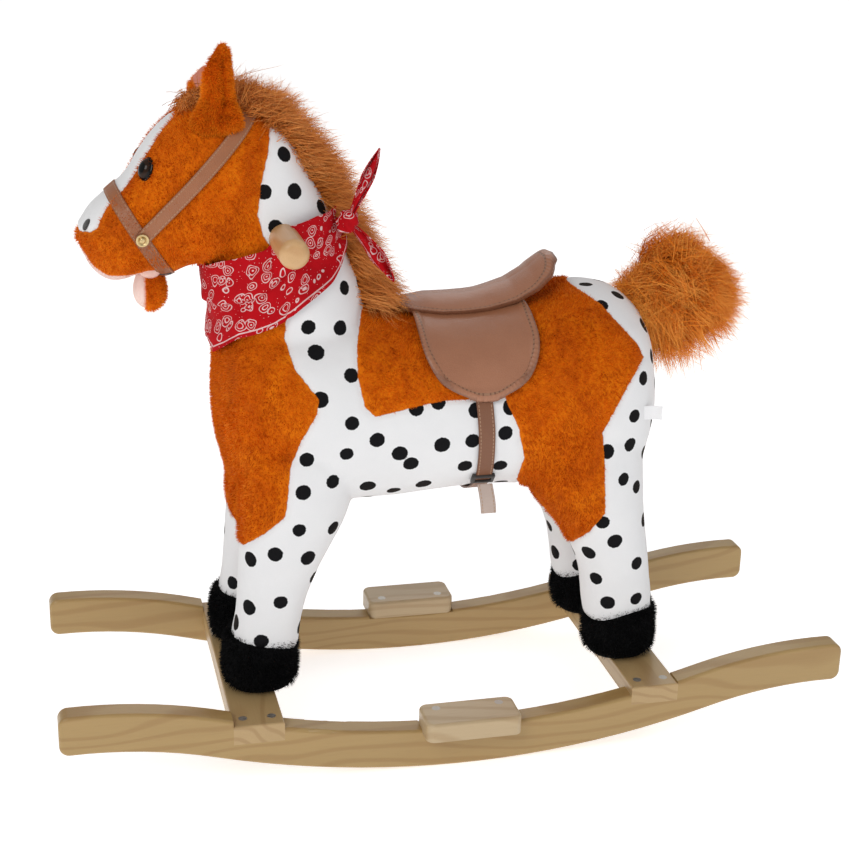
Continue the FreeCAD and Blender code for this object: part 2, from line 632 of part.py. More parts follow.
def hoof_rings(middle):
    """Hoof sections from the crossbar upwards: a plump cup with a rounded sole."""
    low, high = size["bar_top"], size["bar_top"] + size["hoof_height"]
    return [
        (low, middle - 26, middle + 26, 23), (low + 6, middle - 34, middle + 34, 30),
        (low + 22, middle - 37, middle + 37, 33), (high - 8, middle - 34, middle + 34, 30),
        (high, middle - 31, middle + 31, 27)]


def make_plush(core, ear_inner):
    """Body, neck, head, legs, hooves and ears, cut around all that they enclose."""
    torso = stuffed("torso_form", "x", torso_rings())
    neck = stuffed("neck_form", "z", neck_rings())
    head = stuffed("head_form", "x", head_rings())
    subpart("torso", cut("torso", torso, core))
    subpart("neck", cut("neck", neck, torso, head, core))
    ears = {}
    for side, way in SIDES:
        middle = way * size["ear_side"]
        ears[side] = stuffed("ear_form_" + side, "z", ear_rings(), middle)
    tilt = FreeCAD.Placement(V(), Turn(V(1, 0, 0), -size["ear_tilt"]), V(0, size["ear_side"] + 4, up(344)))
    ears["right"].Placement = tilt
    eyes = []
    for side, way in SIDES:
        eye = add("Part::Ellipsoid", "eye_" + side)
        bind(eye, place_x="shoulder - eye_ahead", place_y="%seye_side" % ("-" if way < 0 else ""),
             place_z="belly + eye_rise")
        eye.Radius1, eye.Radius2, eye.Radius3 = 11, 8, 8
        eyes.append(eye)
    all_eyes = subpart("eyes", group("eyes", eyes))
    subpart("head", cut("head", head, all_eyes, core))
    subpart("ear_left", cut("ear_left", ears["left"], head, *ear_inner))
    subpart("ear_right", cut("ear_right", ears["right"], head))
    for side, way in SIDES:
        for end, middle in (("front", front(0)), ("rear", rear(0))):
            hoof = stuffed("%s_hoof_form_%s" % (end, side), "z", hoof_rings(middle), way * size["leg_side"])
            leg = stuffed("%s_leg_form_%s" % (end, side), "z", leg_rings(end), way * size["leg_side"])
            subpart("%s_hoof_%s" % (end, side), cut("%s_hoof_%s" % (end, side), hoof, core))
            subpart("%s_leg_%s" % (end, side), cut("%s_leg_%s" % (end, side), leg, torso, hoof, core))
    return torso, neck, head, ears


def make_hair(torso, neck, head, ears, handle, scarf, cheek):
    """Mane down the neck and the forelock between the ears."""
    mane = stuffed("mane_form", "z", [
        (up(183), front(104), front(140), 10), (up(215), front(84), front(135), 20),
        (up(250), front(62), front(121), 25), (up(280), front(50), front(112), 27),
        (up(310), front(30), front(97), 27), (up(340), front(5), front(80), 27),
        (up(362), front(-10), front(66), 25), (up(378), front(-12), front(46), 19), (up(384), front(-4), front(33), 9)])
    forelock = stuffed("forelock_form", "x", [
        (front(-87), up(322), up(345), 8), (front(-67), up(335), up(372), 17), (front(-42), up(345), up(383), 20),
        (front(-17), up(350), up(384), 19), (front(-8), up(356), up(378), 12)])
    subpart("mane", cut("mane", mane, torso, neck, head, cheek, scarf, handle, *ears.values()))
    subpart("forelock", cut("forelock", forelock, head, neck, mane, cheek, *ears.values()))


# ---------------------------------------------------------------- saddle, straps and neckerchief


def make_saddle(torso):
    """A padded seat with a raised cantle, two round flaps and a girth strap with its buckle."""
    pad = stuffed("seat_form", "x", [
        (front(135), up(140), up(180), 14), (front(148), up(130), up(184), 34), (front(183), up(124), up(182), 48),
        (front(223), up(124), up(188), 52), (front(253), up(134), up(202), 52), (front(275), up(160), up(222), 47),
        (front(284), up(178), up(222), 36)])
    seat_space = block("seat_space", "shoulder", "-150", "belly + 142", "400", "300", "150")
    seat_solid = within("seat_solid", pad, seat_space)
    subpart("saddle_seat", cut("saddle_seat", seat_solid, torso))
    outside = stuffed("flap_outside", "x", torso_rings(), 0, size["flap_thick"])
    flaps = []
    for name, y in (("left", "-150"), ("right", "0")):
        disc = rod("flap_disc_" + name, "y", "flap_middle", y, "belly + flap_rise", "flap_radius", "150")
        flap = within("flap_solid_" + name, outside, disc)
        subpart("saddle_flap_" + name, cut("saddle_flap_" + name, flap, seat_solid, torso))
        flaps.append(flap)
    strap_outside = stuffed("strap_outside", "x", torso_rings(), 0, size["strap_thick"])
    band = block("girth_band", "girth_middle - girth_width / 2", "-150", "belly - 30", "girth_width", "300", "150")
    strap = within("girth_solid", strap_outside, band)
    under_flaps = cut("girth_under_flaps", strap, torso)
    subpart("girth_strap", cut("girth_strap", under_flaps, *flaps))
    frame = block("buckle_block", "girth_middle - girth_width / 2 - 4", "-82", "belly + 16", "girth_width + 8",
                  "22", "18")
    buckle_outside = stuffed("buckle_outside", "x", torso_rings(), 0, size["strap_thick"] + 3)
    buckle = within("buckle_solid", frame, buckle_outside)
    subpart("girth_buckle", cut("girth_buckle", buckle, torso, strap))
    tag = block("care_label_blank", "hip + 30", "-20", "belly + 46", "26", "1.2", "18")
    subpart("care_label", cut("care_label", tag, torso))


def slab(label, x, z, run_x, run_z, width, reach):
    """A flat band of space that runs through X, Z in a direction, right across the horse."""
    long = 200
    box = Part.makeBox(long, 2 * reach, width, V(-long / 2, -reach, -width / 2))
    slope = math.degrees(math.atan2(run_z, run_x))
    feature = shaped(label, box)
    feature.Placement = FreeCAD.Placement(V(x, 0, z), Turn(V(0, 1, 0), -slope))
    return feature


def make_bridle(neck, head, ears, jaw_motor, mouth):
    """A noseband right round the muzzle, a cheek strap over the poll, and their rivets."""
    head_out = stuffed("bridle_outside_head", "x", head_rings(), 0, size["strap_thick"])
    rivet_x, rivet_z = front(-91), up(246)
    rivets = group("rivet_set", [
        rod("rivet_left", "y", "shoulder - 91", "-47", "belly + 246", "rivet_radius", "12"),
        rod("rivet_right", "y", "shoulder - 91", "35", "belly + 246", "rivet_radius", "12")])
    nose_slab = slab("nose_slab", rivet_x, rivet_z, -29, 44, size["strap_width"], 90)
    cheek_slab = slab("cheek_slab", rivet_x + 55, rivet_z + 60, 109, 119, size["strap_width"], 90)
    cheek_space = block("cheek_space", "shoulder - 96", "-90", "belly + 240", "130", "180", "160")
    nose = within("noseband_solid", head_out, nose_slab)
    cheek = within("cheek_solid", within("cheek_run", head_out, cheek_slab), cheek_space)
    subpart("noseband", cut("noseband", nose, head, rivets, jaw_motor, mouth))
    subpart("cheek_strap", cut("cheek_strap", cheek, neck, head, nose, rivets, *ears.values()))
    subpart("bridle_rivets", cut("bridle_rivets", rivets, head))
    return cheek


def make_scarf(torso, neck, head, handle):
    """A folded cloth tied round the neck, with its knot and two ends on the left."""
    outside = stuffed("scarf_outside", "z", neck_rings(), 0, size["scarf_thick"])
    fold = plate("scarf_fold", [
        (front(-60), up(222)), (front(-38), up(225)), (front(20), up(231)), (front(100), up(268)),
        (front(112), up(240)), (front(63), up(198)), (front(25), up(172)), (front(-10), up(158)),
        (front(-60), up(150))], -90, 90)
    band = within("scarf_band", outside, fold)
    knot = stuffed("scarf_knot", "z", [
        (up(240), front(80), front(92), 8), (up(252), front(74), front(98), 12), (up(264), front(80), front(92), 8)],
        -58)
    upper = plate("scarf_upper_end", [(front(84), up(258)), (front(92), up(254)), (front(122), up(300)),
                                      (front(114), up(318)), (front(104), up(300))], -66, -62)
    lower = plate("scarf_lower_end", [(front(84), up(250)), (front(93), up(250)), (front(131), up(206)),
                                      (front(118), up(204)), (front(95), up(232))], -66, -62)
    cloth = together("scarf_cloth", [band, knot, upper, lower])
    subpart("neckerchief", cut("neckerchief", cloth, torso, neck, head))
    return cloth


def main():
    leg_screws = make_base()
    posts, boards, spine, neck_post, bolts, handle = make_frame(leg_screws)
    head_inner = make_jaw_drive()
    jaw_motor, mouth = head_inner[0], head_inner[-1]
    tail_inner = make_tail_drive()
    ear_inner = make_ear_switch()
    power = make_power()
    frame = list(posts.values()) + list(boards.values()) + [spine, neck_post, *bolts.Links, handle]
    core = together("inside_of_plush", frame + head_inner + tail_inner + power)
    torso, neck, head, ears = make_plush(core, ear_inner)
    cheek = make_bridle(neck, head, ears, jaw_motor, mouth)
    scarf = make_scarf(torso, neck, head, handle)
    make_hair(torso, neck, head, ears, handle, scarf, cheek)
    make_saddle(torso)


main()
doc.recompute()
faults = [obj.Label for obj in doc.Objects if {"Invalid", "Error"} & set(obj.State)]
faults += [obj.Label for obj in SUBPARTS if obj.Shape.isNull() or not obj.Shape.isValid()]
if faults:
    raise RuntimeError("failed: " + ", ".join(faults))
os.makedirs("parts", exist_ok=True)
for obj in SUBPARTS:
    obj.Shape.exportStep("parts/%s.step" % obj.Label)
print(len(SUBPARTS), "sub-parts")
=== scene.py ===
"""A plush rocking horse on a pine base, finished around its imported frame.

Metres.  The horse faces -X, its left side faces -Y, +Z is up, the floor is Z = 0.
"""
import math

import bmesh
import bpy
import numpy as np
from mathutils import Euler, Matrix, Vector, noise
from mathutils.bvhtree import BVHTree


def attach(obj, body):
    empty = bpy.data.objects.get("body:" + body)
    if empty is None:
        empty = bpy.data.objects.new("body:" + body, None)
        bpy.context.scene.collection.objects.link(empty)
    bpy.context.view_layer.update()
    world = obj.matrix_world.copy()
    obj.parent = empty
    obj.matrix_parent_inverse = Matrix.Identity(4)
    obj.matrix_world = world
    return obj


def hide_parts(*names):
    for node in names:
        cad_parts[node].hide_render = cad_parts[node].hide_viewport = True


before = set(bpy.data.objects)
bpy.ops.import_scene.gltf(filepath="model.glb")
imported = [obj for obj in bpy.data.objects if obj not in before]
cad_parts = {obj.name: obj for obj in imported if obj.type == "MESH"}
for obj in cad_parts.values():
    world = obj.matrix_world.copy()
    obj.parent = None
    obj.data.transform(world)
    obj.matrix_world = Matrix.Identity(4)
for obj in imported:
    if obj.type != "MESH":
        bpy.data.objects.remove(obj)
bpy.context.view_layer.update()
chance = np.random.default_rng(7)

# ------------------------------------------------------------------ camera, floor and lights
# A studio table: a pale seamless floor, and three large soft lamps, seen from the horse's left front
# at a child's standing eye height.

CAMERA_TURN, CAMERA_DROP, CAMERA_ROLL = math.radians(13.95), math.radians(19.69), math.radians(1.34)
CAMERA_AIM, CAMERA_AWAY, CAMERA_LENS = Vector((-0.0172, 0, 0.2901)), 1.589, 71.6

level_turn = Euler((math.pi / 2 - CAMERA_DROP, 0, -CAMERA_TURN)).to_matrix()
aim_turn = level_turn @ Matrix.Rotation(CAMERA_ROLL, 3, "Z")
camera_place = CAMERA_AIM + aim_turn @ Vector((0, 0, CAMERA_AWAY))
bpy.ops.object.camera_add(location=camera_place, rotation=aim_turn.to_euler())
bpy.context.scene.camera = bpy.context.object
bpy.context.object.data.lens = CAMERA_LENS


def lamp(name, place, target, width, power, tint=(1, 1, 1)):
    """A large soft square lamp that faces a point."""
    way = Vector(target) - Vector(place)
    bpy.ops.object.light_add(type="AREA", location=place, rotation=way.to_track_quat("-Z", "Y").to_euler())
    light = bpy.context.object
    light.name = name
    light.data.size, light.data.energy, light.data.color = width, power, tint
    return light


lamp("key_lamp", (-1.7, -2.1, 2.3), (0, 0, 0.3), 1.4, 31, (1, 0.985, 0.96))
lamp("fill_lamp", (2.2, -1.9, 1.3), (0, 0, 0.3), 1.8, 7, (0.96, 0.98, 1))
lamp("back_lamp", (0.6, 2.4, 2.2), (0, 0, 0.3), 1.8, 12)
world = bpy.data.worlds.new("studio")
bpy.context.scene.world = world
world.use_nodes = True
world.node_tree.nodes["Background"].inputs[0].default_value = (1, 1, 1, 1)
world.node_tree.nodes["Background"].inputs[1].default_value = 0.46
bpy.context.scene.view_settings.view_transform = "Standard"


class Wire:
    """A shader socket; an expression on wires and numbers adds its Math nodes."""

    def __init__(self, look, socket):
        self.look, self.socket = look, socket

    def reckon(self, operation, *values):
        return self.look.node("ShaderNodeMath", {"operation": operation}, dict(enumerate(values)))

    def __add__(self, other): return self.reckon("ADD", self, other)
    def __radd__(self, other): return self.reckon("ADD", other, self)
    def __sub__(self, other): return self.reckon("SUBTRACT", self, other)
    def __rsub__(self, other): return self.reckon("SUBTRACT", other, self)
    def __mul__(self, other): return self.reckon("MULTIPLY", self, other)
    def __rmul__(self, other): return self.reckon("MULTIPLY", other, self)
    def __truediv__(self, other): return self.reckon("DIVIDE", self, other)
    def __gt__(self, other): return self.reckon("GREATER_THAN", self, other)
    def __lt__(self, other): return self.reckon("LESS_THAN", self, other)


class Look:
    """A material whose nodes are added one call at a time."""

    def __init__(self, name, roughness=0.6, **constants):
        self.material = bpy.data.materials.new(name)
        self.material.use_nodes = True
        self.tree = self.material.node_tree
        self.shader = self.tree.nodes["Principled BSDF"]
        self.shader.inputs["Roughness"].default_value = roughness
        for socket, value in constants.items():
            self.shader.inputs[socket.replace("_", " ")].default_value = value

    def node(self, kind, settings=(), inputs=(), output=0):
        made = self.tree.nodes.new(kind)
        for name, value in dict(settings).items():
            setattr(made, name, value)
        for key, value in dict(inputs).items():
            self.join(value, made.inputs[key])
        return Wire(self, made.outputs[output])

    def join(self, value, socket):
        if isinstance(value, Wire):
            self.tree.links.new(value.socket, socket)
        else:
            socket.default_value = value

    def feed(self, **sockets):
        for name, value in sockets.items():
            self.join(value, self.shader.inputs[name.replace("_", " ")])

    def place(self):
        return self.node("ShaderNodeTexCoord", output="Object")

    def mapped(self, vector, scale=(1, 1, 1), turn=(0, 0, 0), move=(0, 0, 0)):
        return self.node("ShaderNodeMapping", {}, {"Vector": vector, "Scale": scale, "Rotation": turn,
                                                   "Location": move})

    def cloud(self, vector, scale, detail=3.0, rough=0.55, warp=0.0):
        return self.node("ShaderNodeTexNoise", {}, {"Vector": vector, "Scale": scale, "Detail": detail,
                                                    "Roughness": rough, "Distortion": warp})

    def cells(self, vector, scale, feature="F1", spread=1.0):
        return self.node("ShaderNodeTexVoronoi", {"feature": feature},
                         {"Vector": vector, "Scale": scale, "Randomness": spread}, output="Distance")

    def step(self, value, low, high, to_low=0.0, to_high=1.0):
        """A smooth step of a value between two levels."""
        return self.node("ShaderNodeMapRange", {"interpolation_type": "SMOOTHSTEP"},
                         {"Value": value, "From Min": low, "From Max": high,
                          "To Min": to_low, "To Max": to_high})

    def near(self, value, middle):
        """How far a value is from a middle, either way."""
        return self.node("ShaderNodeMath", {"operation": "ABSOLUTE"}, {0: value - middle})

    def from_edge(self, share):
        """Distance from the nearer edge of a strap, as a share of its width."""
        return self.node("ShaderNodeMath", {"operation": "MINIMUM"}, {0: share, 1: 1 - share})

    def fraction(self, value):
        """The part of a value past its whole number: a ramp that starts again at each stitch."""
        return self.node("ShaderNodeMath", {"operation": "FRACT"}, {0: value})

    def mix(self, factor, first, second, blend="MIX"):
        """A colour between two colours."""
        return self.node("ShaderNodeMix", {"data_type": "RGBA", "blend_type": blend},
                         {0: factor, 6: first, 7: second}, output=2)

    def split(self, vector):
        """X, Y and Z of a vector."""
        parts = self.node("ShaderNodeSeparateXYZ", {}, {"Vector": vector})
        return parts, Wire(self, parts.socket.node.outputs[1]), Wire(self, parts.socket.node.outputs[2])

    def mark(self, name, output="Fac"):
        """An attribute of the mesh."""
        return self.node("ShaderNodeAttribute", {"attribute_name": name}, output=output)

    def ramp(self, value, *stops):
        made = self.tree.nodes.new("ShaderNodeValToRGB")
        while len(made.color_ramp.elements) < len(stops):
            made.color_ramp.elements.new(0.5)
        for element, (place, colour) in zip(made.color_ramp.elements, stops):
            element.position, element.color = place, (*colour, 1)
        self.join(value, made.inputs[0])
        return Wire(self, made.outputs[0])

    def bump(self, height, distance, strength=1.0, under=None):
        inputs = {"Height": height, "Distance": distance, "Strength": strength}
        if under:
            inputs["Normal"] = under
        return self.node("ShaderNodeBump", {}, inputs)


def dress(obj, look):
    """Give a piece, or a CAD node by name, one material all over."""
    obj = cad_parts[obj] if isinstance(obj, str) else obj
    obj.data.materials.clear()
    obj.data.materials.append(look.material)
    return obj


floor_look = Look("floor_paper", 0.55, Emission_Color=(1, 1, 1, 1), Emission_Strength=0.62)
floor_grain = floor_look.cloud(floor_look.place(), 900.0)
floor_look.feed(Base_Color=floor_look.mix(floor_grain, (0.86, 0.86, 0.86, 1), (0.9, 0.9, 0.9, 1)))
bpy.ops.mesh.primitive_plane_add(size=60)
floor = bpy.context.object
floor.name = "floor"
dress(floor, floor_look)

# ------------------------------------------------------------------ pine base and handle
# Rockers, crossbars and footrests are planed pine under a clear satin lacquer; the handle is a turned
# dowel of the same wood.  They keep their sawn shapes from the frame.


def wood(name, light, dark, along="x", ring=210.0, stretch=16.0):
    """Pine: pale early wood, darker late-wood lines along the board, a few knots, satin lacquer."""
    look = Look(name, 0.4, Coat_Roughness=0.22)
    place = look.place()
    turned = place if along == "x" else look.mapped(place, turn=(0, 0, math.pi / 2))
    long = look.mapped(turned, scale=(1, stretch, stretch))
    wander = look.cloud(look.mapped(turned, scale=(1.6, 5, 5)), 2.2, 2.0)
    x, y, z = look.split(turned)
    heart = look.cloud(look.mapped(turned, scale=(0.9, 3.0, 3.0)), 3.0, 1.0)
    lines = look.node("ShaderNodeMath", {"operation": "SINE"},
                      {0: (z + y * 0.6) * ring * 2.2 + wander * 34.0 + heart * 12.0})
    late = look.step(lines, 0.15, 1.0)
    fibre = look.cloud(look.mapped(turned, scale=(14, 700, 700)), 1.0, 4.0)
    pores = look.cloud(look.mapped(turned, scale=(40, 1500, 1500)), 1.0, 2.0)
    patch = look.cloud(long, 1.6, 3.0)
    knots = look.cells(look.mapped(turned, scale=(5, 16, 16)), 1.0)
    knot = look.step(knots, 0.10, 0.02)
    early = look.mix(patch, (*light, 1), (*[c * 0.84 for c in light], 1))
    grained = look.mix(late * 0.42 + fibre * 0.22, early, (*dark, 1))
    tone = look.mix(knot * 0.7, grained, (0.19, 0.085, 0.03, 1))
    look.feed(Base_Color=look.mix(look.step(pores, 0.60, 0.78) * 0.35, tone, (0.24, 0.13, 0.05, 1)),
              Roughness=0.34 + fibre * 0.18, Coat_Weight=0.25 - late * 0.1,
              Normal=look.bump(fibre * 0.5 + late * 0.25, 0.0004, 0.6))
    return look


rocker_wood = wood("rocker_pine", (0.44, 0.288, 0.105), (0.30, 0.168, 0.054), ring=150.0)
cross_wood = wood("crossbar_pine", (0.50, 0.34, 0.155), (0.31, 0.18, 0.07), along="y")
rest_wood = wood("footrest_pine", (0.56, 0.42, 0.245), (0.38, 0.25, 0.12), ring=190.0)
handle_wood = wood("handle_pine", (0.66, 0.40, 0.185), (0.46, 0.24, 0.09), along="y", ring=120.0)
inner_wood = wood("frame_pine", (0.58, 0.44, 0.27), (0.40, 0.27, 0.14))
for node in ("rocker_left", "rocker_right"):
    dress(node, rocker_wood)
for node in ("front_crossbar", "rear_crossbar"):
    dress(node, cross_wood)
for node in ("footrest_left", "footrest_right"):
    dress(node, rest_wood)
dress("handle_dowel", handle_wood)
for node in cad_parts:
    if "_post" in node or node in ("shoulder_board", "hip_board", "spine_plank", "head_bracket"):
        dress(node, inner_wood)

# ------------------------------------------------------------------ screws, pins and inner works
# Countersunk zinc-plated wood screws, steel pins, and the moulded cases inside the stuffing.

steel = Look("zinc_steel", 0.42, Metallic=0.9)
tarnish = steel.cloud(steel.place(), 420.0, 4.0)
steel.feed(Base_Color=steel.mix(tarnish, (0.30, 0.27, 0.23, 1), (0.62, 0.59, 0.54, 1)),
           Roughness=0.3 + tarnish * 0.3)
for node in ("crossbar_screws", "footrest_screws", "leg_screws", "frame_bolts", "jaw_pin", "tail_pin",
             "batteries"):
    dress(node, steel)
moulding = Look("inner_moulding", 0.5)
speckle = moulding.cloud(moulding.place(), 2400.0, 2.0)
moulding.feed(Base_Color=moulding.mix(speckle, (0.03, 0.03, 0.032, 1), (0.06, 0.06, 0.065, 1)),
              Normal=moulding.bump(speckle, 0.0001, 0.4))
for node in ("jaw_motor", "jaw_arm", "tail_motor", "tail_arm", "ear_switch", "ear_button", "sound_unit",
             "battery_box", "battery_cover"):
    dress(node, moulding)

# ------------------------------------------------------------------ plush body, neck, head and legs
# One sewn skin of short-pile plush and printed velboa, stuffed tight with fibre over the wooden frame:
# orange over face, chest, back and hips, white with black dots elsewhere, seams let in along the joins.

SHOULDER, HIP, LEG_SIDE = -0.183, 0.169, 50


def work_on(obj, mode="OBJECT"):
    """Select one object alone and make it active."""
    if bpy.context.mode != "OBJECT":
        bpy.ops.object.mode_set(mode="OBJECT")
    bpy.ops.object.select_all(action="DESELECT")
    obj.select_set(True)
    bpy.context.view_layer.objects.active = obj
    if mode != "OBJECT":
        bpy.ops.object.mode_set(mode=mode)
    return obj


def finish_with(obj, kind, **settings):
    """Add a modifier and apply it."""
    work_on(obj)
    made = obj.modifiers.new(kind.lower(), kind)
    for name, value in settings.items():
        setattr(made, name, value)
    bpy.ops.object.modifier_apply(modifier=made.name)
    return obj


def smooth(obj, angle=60):
    """Shade smooth, with edges sharper than an angle left crisp."""
    work_on(obj)
    bpy.ops.object.shade_smooth_by_angle(angle=math.radians(angle))
    return obj


def corners(obj):
    """All vertex places of a mesh as an array."""
    places = np.empty(len(obj.data.vertices) * 3)
    obj.data.vertices.foreach_get("co", places)
    return places.reshape(-1, 3)


def set_corners(obj, places):
    """Put every vertex of a mesh at its place."""
    obj.data.vertices.foreach_set("co", np.asarray(places, float).ravel())
    obj.data.update()


def normals(obj):
    """The way out at every vertex as an array."""
    found = np.empty(len(obj.data.vertices) * 3)
    obj.data.vertex_normals.foreach_get("vector", found)
    return found.reshape(-1, 3)


def stuffed(name, axis, rings, side=0.0, edges=36, square=2.3, tip=0.35, rounds=2):
    """A stuffed form, extruded from ring to ring.  A ring is its place along the axis, its low and high
    limits across, and its half width, in mm.  Both ends are drawn in to a rounded tip."""
    first, last = rings[0], rings[-1]
    lead = math.copysign(1, last[0] - first[0]) * tip

    def drawn(ring, way, share):
        """A ring part of the way round the tip."""
        middle, reach = (ring[1] + ring[2]) / 2, (ring[2] - ring[1]) / 2
        shrink = math.sqrt(max(0, 1 - share * share))
        return (ring[0] + way * min(reach, ring[3]) * share, middle - reach * shrink, middle + reach * shrink,
                ring[3] * shrink)

    chain = [drawn(first, -lead, s) for s in (0.97, 0.8, 0.45)] + list(rings)
    chain += [drawn(last, lead, s) for s in (0.45, 0.8, 0.97)]
    bpy.ops.object.select_all(action="DESELECT")
    bpy.ops.mesh.primitive_circle_add(vertices=edges, radius=1, fill_type="NGON")
    form = bpy.context.object
    form.name = name
    for vertex in form.data.vertices:
        a, b = vertex.co.x, vertex.co.y
        grow = (abs(a) ** square + abs(b) ** square) ** (-1 / square)
        vertex.co = (a * grow, b * grow, 0)
    work_on(form, "EDIT")
    bpy.ops.mesh.select_all(action="SELECT")
    now = None
    for along, low, high, half in chain:
        if now:
            bpy.ops.mesh.extrude_region_move()
        mesh = bmesh.from_edit_mesh(form.data)
        picked = [v for v in mesh.verts if v.select]
        for vertex in picked:
            if now is None:
                a, b = vertex.co.x, vertex.co.y
            else:
                height = vertex.co.z if axis == "x" else vertex.co.x
                a = (vertex.co.y - side) / now[3]
                b = (height - (now[1] + now[2]) / 2) * 2 / (now[2] - now[1])
            across, aside = (low + high) / 2 + b * (high - low) / 2, side + a * half
            vertex.co = (along, aside, across) if axis == "x" else (across, aside, along)
        now = (along, low, high, half)
        bmesh.update_edit_mesh(form.data)
    bpy.ops.mesh.select_all(action="SELECT")
    bpy.ops.transform.resize(value=(0.001, 0.001, 0.001), center_override=(0, 0, 0))
    bpy.ops.mesh.normals_make_consistent(inside=False)
    bpy.ops.object.mode_set(mode="OBJECT")
    if rounds:
        finish_with(form, "SUBSURF", levels=rounds, render_levels=rounds)
    return form


def merged(name, forms, voxel, rounds=6):
    """One closed skin round several forms."""
    work_on(forms[0])
    for form in forms:
        form.select_set(True)
    bpy.ops.object.join()
    skin = bpy.context.object
    skin.name = name
    finish_with(skin, "REMESH", mode="VOXEL", voxel_size=voxel)
    finish_with(skin, "SMOOTH", factor=0.5, iterations=rounds)
    return skin


TORSO = [(-210, 285, 385, 44), (-205, 262, 400, 60), (-196, 248, 409, 71), (-182, 239, 414, 80),
         (-155, 232, 417, 87), (-130, 229, 418, 90), (-60, 230, 404, 92), (0, 238, 398, 93),
         (70, 236, 408, 96), (118, 221, 426, 97), (154, 217, 421, 92), (174, 228, 410, 81),
         (187, 251, 388, 61), (194, 279, 364, 41)]
NECK = [(350, -209, -75, 66), (390, -212, -76, 62), (420, -214, -76, 60), (460, -216, -93, 56),
        (495, -218, -106, 52), (530, -219, -125, 48), (562, -215, -140, 40), (580, -203, -158, 26)]
HEAD = [(-325, 468, 497, 17), (-319, 453, 507, 28), (-306, 443, 518, 37), (-296, 443, 527, 40),
        (-288, 445, 532, 41), (-276, 450, 552, 43), (-264, 456, 570, 47), (-250, 456, 584, 50),
        (-240, 456, 590, 53), (-212, 454, 599, 55),
        (-186, 462, 595, 51), (-170, 478, 582, 40)]
FRONT_LEG = [(104, -212, -146, 28), (130, -205, -145, 30), (165, -203, -135, 32), (205, -200, -116, 36),
             (240, -199, -97, 39), (290, -197, -93, 38)]
REAR_LEG = [(104, 133, 202, 28), (130, 130, 198, 30), (160, 125, 192, 33), (195, 109, 187, 38),
            (225, 85, 183, 43), (260, 62, 180, 46), (300, 62, 178, 44)]

forms = [stuffed("torso_form", "x", TORSO, tip=0.08), stuffed("neck_form", "z", NECK),
         stuffed("head_form", "x", HEAD)]
for side in (-LEG_SIDE, LEG_SIDE):
    forms += [stuffed("front_leg_form", "z", FRONT_LEG, side), stuffed("rear_leg_form", "z", REAR_LEG, side)]
plush = merged("plush_skin", forms, 0.0026, 9)


def side_view(places):
    """Where points lie on the horse's side template: drawn through the standing eye point onto its middle
    plane, in mm.  The right side takes the template of the left."""
    eye = np.array(camera_place)
    near = np.array(places, float)
    near[:, 1] = -np.abs(near[:, 1])
    drawn = eye + (near - eye) * ((0 - eye[1]) / (near[:, 1] - eye[1]))[:, None]
    return drawn[:, 0] * 1000, drawn[:, 2] * 1000


def edge_distance(x, z, outline):
    """Distance in mm inside (above 0) or outside (below 0) an outline."""
    points = np.array(outline, float)
    best, inside = np.full(len(x), 1e9), np.zeros(len(x), bool)
    for (ax, az), (bx, bz) in zip(points, np.roll(points, -1, 0)):
        run_x, run_z = bx - ax, bz - az
        share = np.clip(((x - ax) * run_x + (z - az) * run_z) / (run_x ** 2 + run_z ** 2), 0, 1)
        best = np.minimum(best, np.hypot(x - ax - share * run_x, z - az - share * run_z))
        if run_z:
            crossing = (az > z) != (bz > z)
            inside ^= crossing & (x < ax + (z - az) / run_z * run_x)
    return np.where(inside, best, -best)


# The outlines of the orange plush on the side template.
CHEST_PATCH = [(-148, 400), (-150, 380), (-140, 350), (-118, 320), (-120, 305), (-135, 280), (-145, 255),
               (-147, 230), (-150, 205), (-170, 190), (-190, 180), (-206, 196), (-260, 205), (-260, 440),
               (-150, 440)]
BACK_PATCH = [(-73, 430), (-80, 400), (-83, 370), (-82, 340), (-75, 310), (-65, 300), (-30, 307), (0, 312),
              (60, 312), (75, 280), (82, 250), (75, 228), (85, 210), (100, 190), (120, 165), (135, 157),
              (152, 166), (168, 185), (165, 230), (160, 270), (175, 300), (197, 345), (190, 358),
              (150, 400), (120, 420), (100, 432),
              (100, 520), (-73, 520)]
HEAD_PATCH = [(-161, 580), (-163, 550), (-170, 520), (-173, 495), (-168, 475), (-160, 463), (-160, 430),
              (-420, 430), (-420, 680), (-161, 680)]


def orange_depth(places):
    """How far inside the orange plush a point lies, in mm: below 0 on the white, and on the blaze that runs
    down the face."""
    x, z = side_view(places)
    depth = np.maximum.reduce([edge_distance(x, z, p) for p in (CHEST_PATCH, BACK_PATCH, HEAD_PATCH)])
    on_head = places[:, 0] < -0.225
    run = places[:, 0] * 1000
    blaze = np.interp(run, (-335, -318, -300, -283, -262, -246, -238), (34, 31, 23, 20, 19, 12, -8))
    low = np.interp(run, (-335, -318, -300, -283), (486, 490, 506, 520))
    off_blaze = np.maximum(np.abs(places[:, 1]) * 1000 - blaze, low - places[:, 2] * 1000)
    return np.where(on_head, np.minimum(depth, off_blaze), depth)


def keep(obj, name, values):
    """Store a number at every vertex, for a material to read."""
    obj.data.attributes.new(name, "FLOAT", "POINT").data.foreach_set("value", np.asarray(values, np.float32))


def hill(places, centre, radius, stretch=(1, 1, 1)):
    """1 at a centre, falling smoothly to nothing past about two radii."""
    return np.exp(-(((places - centre) * stretch) ** 2).sum(1) / radius ** 2)


